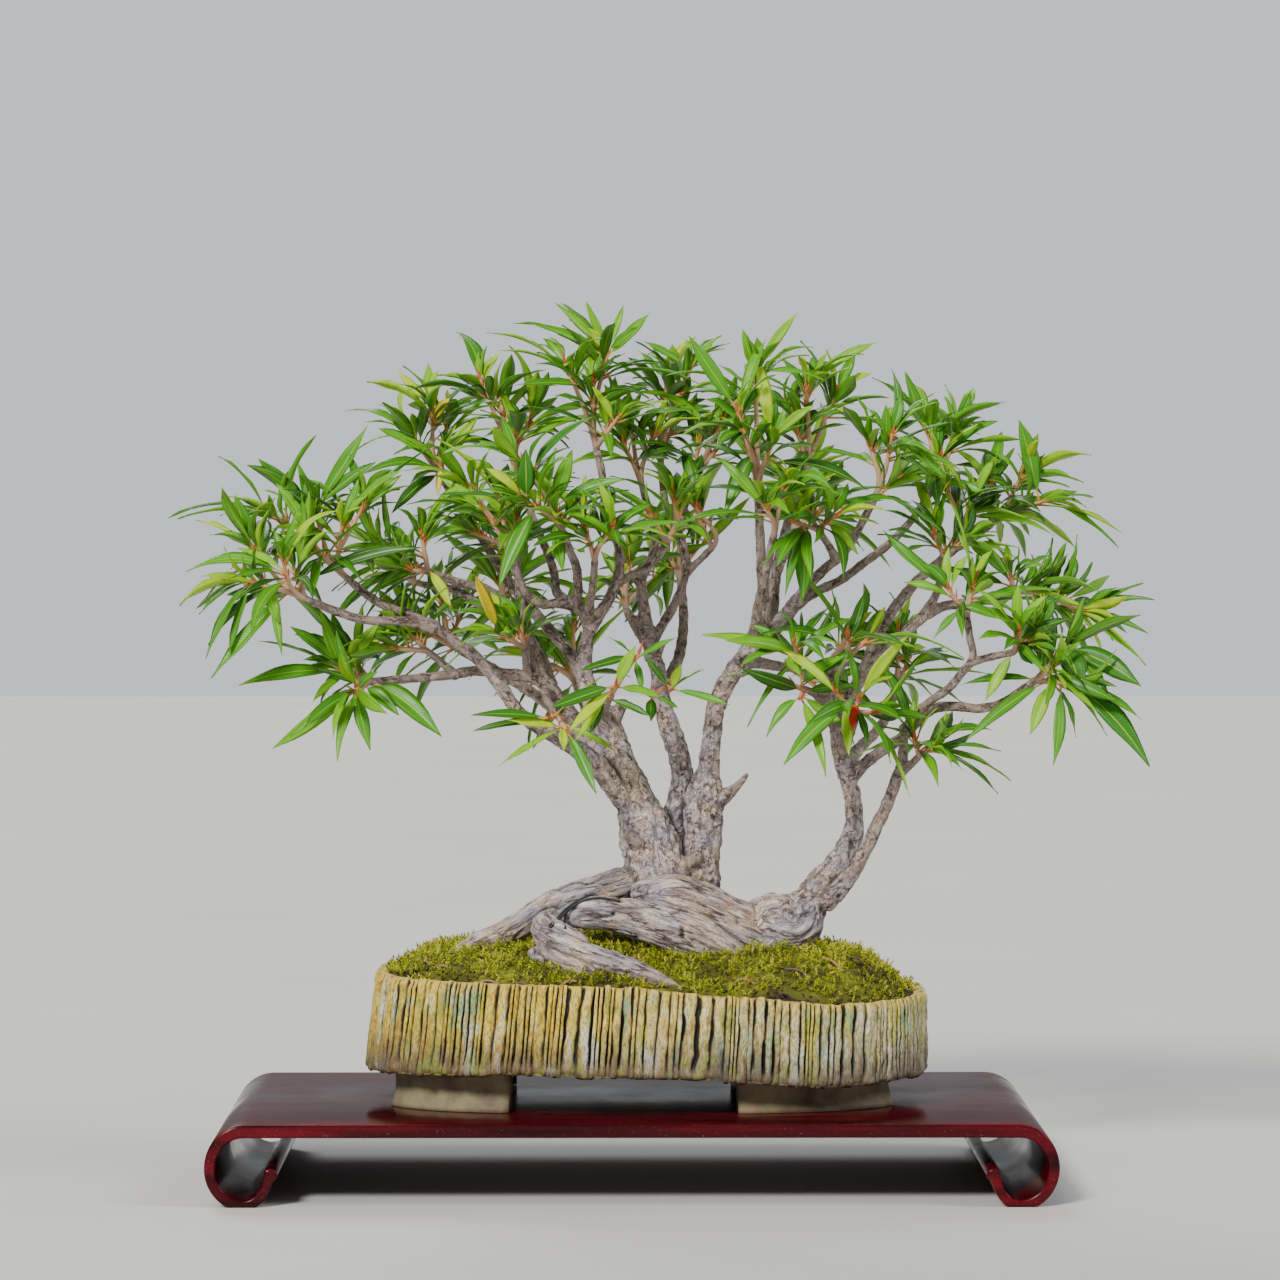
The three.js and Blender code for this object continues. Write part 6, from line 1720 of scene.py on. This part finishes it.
def leaf_patch(pose, draw, tint, ripe):
    t = STATIONS
    centre = middle_line(pose, t)
    slope = unit(pose["run"] * pose["long"] - UP * 2 * pose["sag"] * t[:, None])
    across = unit(np.cross(pose["run"], pose["face"]))
    hook = (next(draw) - 0.5) * (0.3 if pose.get("still") else 0.8)
    centre = centre + across * (hook * pose["long"] * np.clip(t - 0.4, 0, 1) ** 2)[:, None]
    up = unit(np.cross(across, slope))
    bow = 0.0 if pose.get("still") else 0.02 + 0.08 * next(draw)
    centre = centre + up * (bow * pose["long"] * np.sin(np.pi * t))[:, None]
    twist = ((next(draw) - 0.5) * 0.9 * t)[:, None]
    wing = across * np.cos(twist) + up * np.sin(twist)
    up = np.cross(wing, slope)
    half = np.maximum(BREADTH * SLIM * pose["wide"] / 2, STALK * smoothstep(-t, -0.2, -0.12))
    fold = 0.16 + 0.3 * next(draw)
    phase = next(draw) * 6.28
    wave = 0.55 * np.sin(t * (11 + 5 * next(draw)) + phase) * smoothstep(t, 0.15, 0.4)
    s = ACROSS[None]
    rise = half[:, None] * np.abs(s) * fold + wave[:, None] * s * np.abs(s)
    rise += half[:, None] * 0.1 * (1 - (2 * np.abs(s) - 1) ** 2)
    rise -= BELOW[None] * THICKNESS[:, None] * 1.6 + LEAF_SINK
    grid = centre[:, None] + wing[:, None] * (half[:, None] * s)[..., None] + up[:, None] * rise[..., None]
    marks = np.stack(np.broadcast_arrays(s, t[:, None], tint), -1).reshape(-1, 3)
    count = len(ACROSS)
    caps = [cap[::-1] for cap in end_caps(len(t), count)]
    faces = grid_faces(len(t), count)[:, ::-1]
    under = np.broadcast_to(BELOW, (len(t), count)).ravel()
    return patch(grid, faces, 0, caps, leaf=marks, under=under, ripe=ripe)


def shoot_patch(shoot):
    """The young twig, from its branch to the bud."""
    line = twig_line(shoot)
    share = np.linspace(0, 1, len(line))
    radii = 1.15 + (shoot["radius"] * 0.92 - 1.15) * (1 - share) ** 1.5
    draw = lottery(shoot["seed"] + 7000)
    knobs = 1 + 0.16 * np.array([next(draw) for _ in line]) * smoothstep(share, 0.2, 0.5)
    return tube(line, radii * knobs, 8, 1, age=0.15 + 0.85 * share)


def bud_patches(shoot, draw):
    """The pointed bud at a shoot's end, and a few of the sheaths that earlier leaves left."""
    axis = shoot["axis"]
    t = np.linspace(0, 1, 7)
    length = TWIG["bud"] * (0.9 + 0.4 * next(draw))
    line = shoot["tip"] - axis * 0.8 + axis * length * t[:, None]
    radii = np.array([1.15, 1.3, 1.15, 0.9, 0.6, 0.35, 0.12])
    made = [tube(line, radii, 6, 2, blunt=False, age=0.15 + 0.7 * t)]
    side = unit(np.cross(axis, np.array([0.3, 1.0, 0.2])))
    other = np.cross(axis, side)
    for _ in range(3):
        turn = 6.28 * next(draw)
        out = side * np.cos(turn) + other * np.sin(turn)
        foot = shoot["tip"] - shoot["dir"] * (2 + 14 * next(draw))
        reach = 4 + 4.5 * next(draw)
        points = foot + out * 0.9 + (axis * 0.8 + out * 0.45) * reach * t[:, None] + axis * (t**2)[:, None]
        thick = 0.75 * (1 - t) ** 0.7 + 0.08
        made.append(tube(points, thick, 5, 2, blunt=False, age=0.3 + 0.5 * next(draw)))
    return made


def accepted(tree, shoot, j):
    """The try that the solids use for this leaf, found by its tip, or None where they leave it out."""
    for attempt in range(len(SWING)):
        pose = leaf_pose(shoot, j, attempt)
        tip = placed(middle_line(pose, [1.0])[0])
        _, _, away = tree.find(Vector(tip))
        if away < SAME_PLACE:
            return pose
    return None


def nodes_tree(name):
    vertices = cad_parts[name].data.vertices
    tree = KDTree(len(vertices))
    for i, v in enumerate(vertices):
        tree.insert(v.co, i)
    tree.balance()
    return tree


def make_sprays(branch_points):
    """One piece for each spray: its large leaves as in the solids, and the rest in the gaps."""
    taken = [branch_points]
    shoots = []
    grown = [list(shoots_of(index, spray)) for index, spray in enumerate(SPRAYS.values())]
    twigs = np.vstack([twig_line(shoot) for own in grown for shoot in own])
    for name, own_shoots in zip(SPRAYS, grown):
        tree = nodes_tree("spray_" + name)
        for i, shoot in enumerate(own_shoots):
            count = large_leaves(shoot["leaves"])
            if name in PLACED:
                own = [row for row in PLACED[name] if row[0] == i]
                shoot["poses"] = [placed_leaf(shoot, row, j) for j, row in enumerate(own)]
            elif shoot["leaves"] > SMALL_ROSETTE:
                shoot["poses"] = []
            else:
                found = (accepted(tree, shoot, j) for j in range(count))
                shoot["poses"] = [pose for pose in found if pose]
            if i == 0:
                shoot["poses"] += [feature_leaf(row, twigs) for row in FEATURE_LEAVES.get(name, [])]
            shoot["name"] = name
            shoot["first_free"] = count
            shoots.append(shoot)
            taken += [middle_line(pose, PROBES) for pose in shoot["poses"]]
    for shoot in shoots:
        if shoot["name"] not in PLACED:
            add_leaves(shoot, taken)
    for name in SPRAYS:
        patches = []
        for shoot in (s for s in shoots if s["name"] == name):
            draw = lottery(shoot["seed"] + 9000)
            patches.append(shoot_patch(shoot))
            patches += bud_patches(shoot, draw)
            for pose in shoot["poses"]:
                tint = np.clip(0.2 + 0.42 * pose["level"] + 0.62 * (next(draw) - 0.35), 0.04, 0.98)
                patches.append(leaf_patch(pose, draw, pose.get("tint", tint), pose.get("ripe", 0.0)))
        piece = assemble("leaves_" + name, patches, [LEAF, SHOOT, BUD])
        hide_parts("spray_" + name)


def add_leaves(shoot, taken):
    """Small leaves between those that are there, each at the freest of a few turns."""
    x, height = front_view(shoot["tip"][None])[0]
    thin = any(abs(x - left) < wide and abs(height - low) < high for left, low, wide, high in SPARSE)
    close = [points for points in taken if np.abs(points - shoot["tip"]).min(0).max() < LEAF_REACH]
    near = np.vstack([shoot["tip"][None] + 500, *close])
    extra = 0 if shoot["leaves"] > SMALL_ROSETTE else EXTRA_LEAVES
    for j in range(shoot["first_free"], shoot["first_free"] + 3 if thin else shoot["leaves"] + extra):
        best, best_room = None, 1.1
        for attempt in range(9):
            pose = leaf_pose(shoot, j, attempt)
            shrink = 0.72 + 0.28 * (1 - pose["level"])
            pose["long"] *= shrink
            pose["sag"] *= shrink
            pose["wide"] *= 0.6 + 0.4 * shrink
            probes = middle_line(pose, PROBES)
            if in_opening(front_view(probes[3:])):
                continue
            room = np.sqrt(((probes[:, None] - near[None]) ** 2).sum(2)).min()
            if room > best_room:
                best, best_room = pose, room
        if best:
            shoot["poses"].append(best)
            probes = middle_line(best, PROBES)
            near = np.vstack([near, probes])
            taken.append(probes)


def in_opening(places):
    """Whether any of these places of the front view lies in a gap of the crown."""
    return any(
        (np.hypot((places[:, 0] - x) / wide, (places[:, 1] - height) / high) < 1).any()
        for x, height, wide, high in OPENINGS
    )


def front_view(points):
    """Where points lie in the front view, measured at the tree's own depth."""
    share = 1 + points[:, 1:2] / -EYE[1]
    return (points[:, [0, 2]] - EYE[[0, 2]]) / share + EYE[[0, 2]]


# Stand: one lacquered board whose ends roll down and under

# Its front and back edges are rounded: depth from the edge, and how far the outline draws in there
ROUNDING = [(0, 1.5), (0.25, 0.75), (0.8, 0.2), (1.6, 0)]


def scroll_line(side, steps):
    """Outer and inner line of a scroll, from the board's end to the bead inside the roll."""
    end = STAND["left"] if side < 0 else STAND["right"]
    centre = np.array([end - side * SCROLL["radius"], STAND["height"] - SCROLL["radius"]])
    share = np.linspace(0, 1, steps)
    turned = share * (SCROLL["end"] - 90)
    angle = np.radians(90 + turned)
    swell = smoothstep(turned, 60, 180) * (SCROLL["foot"] - SCROLL["radius"])
    tuck = SCROLL["foot"] - SCROLL["curl"] - SCROLL["bead"]
    curl = smoothstep(turned, 175, SCROLL["end"] - 90) * tuck
    reach = SCROLL["radius"] + swell - curl
    band = STAND["board"] + (SCROLL["band"] - STAND["board"]) * np.minimum(1, share * 3)
    around = np.stack([np.cos(angle), np.sin(angle)], -1)
    bead_angle = np.linspace(0, np.pi, 15)[1:-1]
    outer = around * reach[:, None]
    outer[:, 1] = np.maximum(outer[:, 1], -centre[1])
    inner = around * (reach - band)[:, None]
    # The band's end swells into a round bead
    tip_middle = (outer[-1] + inner[-1]) / 2
    ahead = unit(outer[-1] - outer[-2])
    out = around[-1]
    bead = [
        tip_middle + ahead * 1.5 + SCROLL["bead"] * (out * np.cos(a) + ahead * np.sin(a)) for a in bead_angle
    ]
    line = np.vstack([outer, bead, inner[::-1]])
    line[:, 0] *= -side
    return line + centre


def make_stand():
    steps = 46
    left, right = scroll_line(-1, steps), scroll_line(1, steps)
    outline = np.vstack([left[::-1], right])
    keep = np.concatenate([[True], np.linalg.norm(np.diff(outline, axis=0), axis=1) > 0.05])
    outline = outline[keep]
    ahead, behind = np.roll(outline, -1, axis=0), np.roll(outline, 1, axis=0)
    run = unit(ahead - behind)
    normal = np.stack([run[:, 1], -run[:, 0]], -1)
    area = 0.5 * np.sum(outline[:, 0] * ahead[:, 1] - ahead[:, 0] * outline[:, 1])
    if area < 0:
        normal = -normal
    half = STAND["depth"] / 2
    rings = []
    front = [(-half + depth, inset) for depth, inset in ROUNDING]
    back = [(half - depth, inset) for depth, inset in ROUNDING[::-1]]
    for y, inset in front + back:
        flat = outline - normal * inset
        rings.append(np.stack([flat[:, 0], np.full(len(flat), y), flat[:, 1]], -1))
    grid = np.array(rings)
    count = len(outline)
    faces, caps = grid_faces(len(grid), count), end_caps(len(grid), count)
    if area > 0:
        faces, caps = faces[:, ::-1], [cap[::-1] for cap in caps]
    piece = assemble("stand", [patch(grid, faces, 0, caps)], [LACQUER])
    flags = [len(p.vertices) == 4 for p in piece.data.polygons]
    piece.data.polygons.foreach_set("use_smooth", flags)
    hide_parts("stand_board", "stand_scroll_left", "stand_scroll_right")


# Litter on the moss: twigs and a few grass blades

# Both ends of each stick, and the foot of each tuft of grass, as x and depth
LITTER_STICKS = [
    [[-118, -104], [-104, -108]], [[-92, -112], [-84, -116]], [[-60, -116], [-50, -112]],
    [[-150, -70], [-138, -78]], [[120, -60], [136, -72]], [[138, -40], [158, -52]],
    [[96, -84], [114, -92]], [[60, -100], [74, -104]],
]
GRASS = [[-150, -40], [-146, -44], [-132, -50], [-128, -46], [158, 30], [-100, 60]]


def make_litter():
    draw = lottery(55)
    patches = []
    for stick in LITTER_STICKS:
        ends = np.array([[x, y, float(ground_height(x, y)) + 1.2] for x, y in stick])
        bow = (ends[0] + ends[1]) / 2 + np.array([0, 0, 1.5 + 2 * next(draw)])
        line, _ = flowing_line(np.column_stack([[ends[0], bow, ends[1]], [1, 1, 1]]), 2)
        patches.append(tube(line, np.full(len(line), 0.7 + 0.5 * next(draw)), 7, 0, age=next(draw)))
    for x, y in GRASS:
        for _ in range(3):
            foot = np.array([x + 3 * next(draw), y + 3 * next(draw), 0])
            foot[2] = float(ground_height(foot[0], foot[1])) - 1
            lean = np.array([next(draw) - 0.5, next(draw) - 0.5, 1.6])
            t = np.linspace(0, 1, 6)[:, None]
            bow = np.array([lean[0], lean[1], -0.6]) * 3
            line = foot + unit(lean) * (9 + 9 * next(draw)) * t + bow * t * t
            patches.append(tube(line, 0.45 * (1 - t[:, 0]) + 0.06, 5, 1, blunt=False, tone=0.72))
    piece = assemble("litter", patches, [LITTER, MOSS])


# Everything, in its order

bark = make_bark()
wood = BVHTree.FromObject(bark, bpy.context.evaluated_depsgraph_get())
make_branches()
branch_points = np.vstack([flowing(spray["branch"], 6)[0] for spray in SPRAYS.values()])
limb_points = np.vstack([flowing(rows, 6)[0] for rows in (*TRUNKS.values(), *LIMBS.values())])
make_sprays(np.vstack([branch_points, limb_points]))
make_pot()
make_soil()
make_moss(wood)
make_litter()
make_wire(wood)
make_stand()


# Floor, light and camera


def make_floor():
    mesh = bpy.data.meshes.new("floor")
    half = 9.0
    corners = [(-half, -half, 0), (half, -half, 0), (half, half, 0), (-half, half, 0)]
    mesh.from_pydata(corners, [], [(0, 1, 2, 3)])
    mesh.materials.append(FLOOR)
    floor = bpy.data.objects.new("floor", mesh)
    bpy.context.scene.collection.objects.link(floor)


def add_sun(name, toward, power, spread, colour):
    data = bpy.data.lights.new(name, "SUN")
    data.energy = power
    data.angle = math.radians(spread)
    data.color = colour
    sun = bpy.data.objects.new(name, data)
    sun.rotation_euler = Vector(toward).to_track_quat("-Z", "Y").to_euler()
    bpy.context.scene.collection.objects.link(sun)


def make_studio():
    add_sun("key", (0.5, 1.0, -0.72), 3.5, 12, (1.0, 0.97, 0.92))
    add_sun("side", (-1.0, 0.3, -0.7), 1.3, 20, (0.97, 0.98, 1.0))
    add_sun("rim", (0.35, -1.0, -0.8), 1.0, 25, (1.0, 1.0, 1.0))
    world = bpy.data.worlds.new("studio")
    world.use_nodes = True
    tree = world.node_tree
    sky = tree.nodes["Background"]
    sky.inputs["Color"].default_value = (0.9, 0.92, 0.95, 1)
    lit = node(tree, "ShaderNodeLightPath").outputs["Is Camera Ray"]
    tree.links.new(stretch(tree, lit, 0.0, 1.0, 0.32, 0.85), sky.inputs["Strength"])
    bpy.context.scene.world = world


LENS = 154.7
# Degrees by which the camera looks down and to the right
LOOKS = {"down": 1.583, "right": 0.396}


def make_camera():
    data = bpy.data.cameras.new("camera")
    data.sensor_width = 36
    data.lens = LENS
    data.clip_end = 60
    camera = bpy.data.objects.new("camera", data)
    camera.location = placed(EYE)
    camera.rotation_euler = (math.radians(90 - LOOKS["down"]), 0, math.radians(-LOOKS["right"]))
    bpy.context.scene.collection.objects.link(camera)
    bpy.context.scene.camera = camera


make_floor()
make_studio()
make_camera()
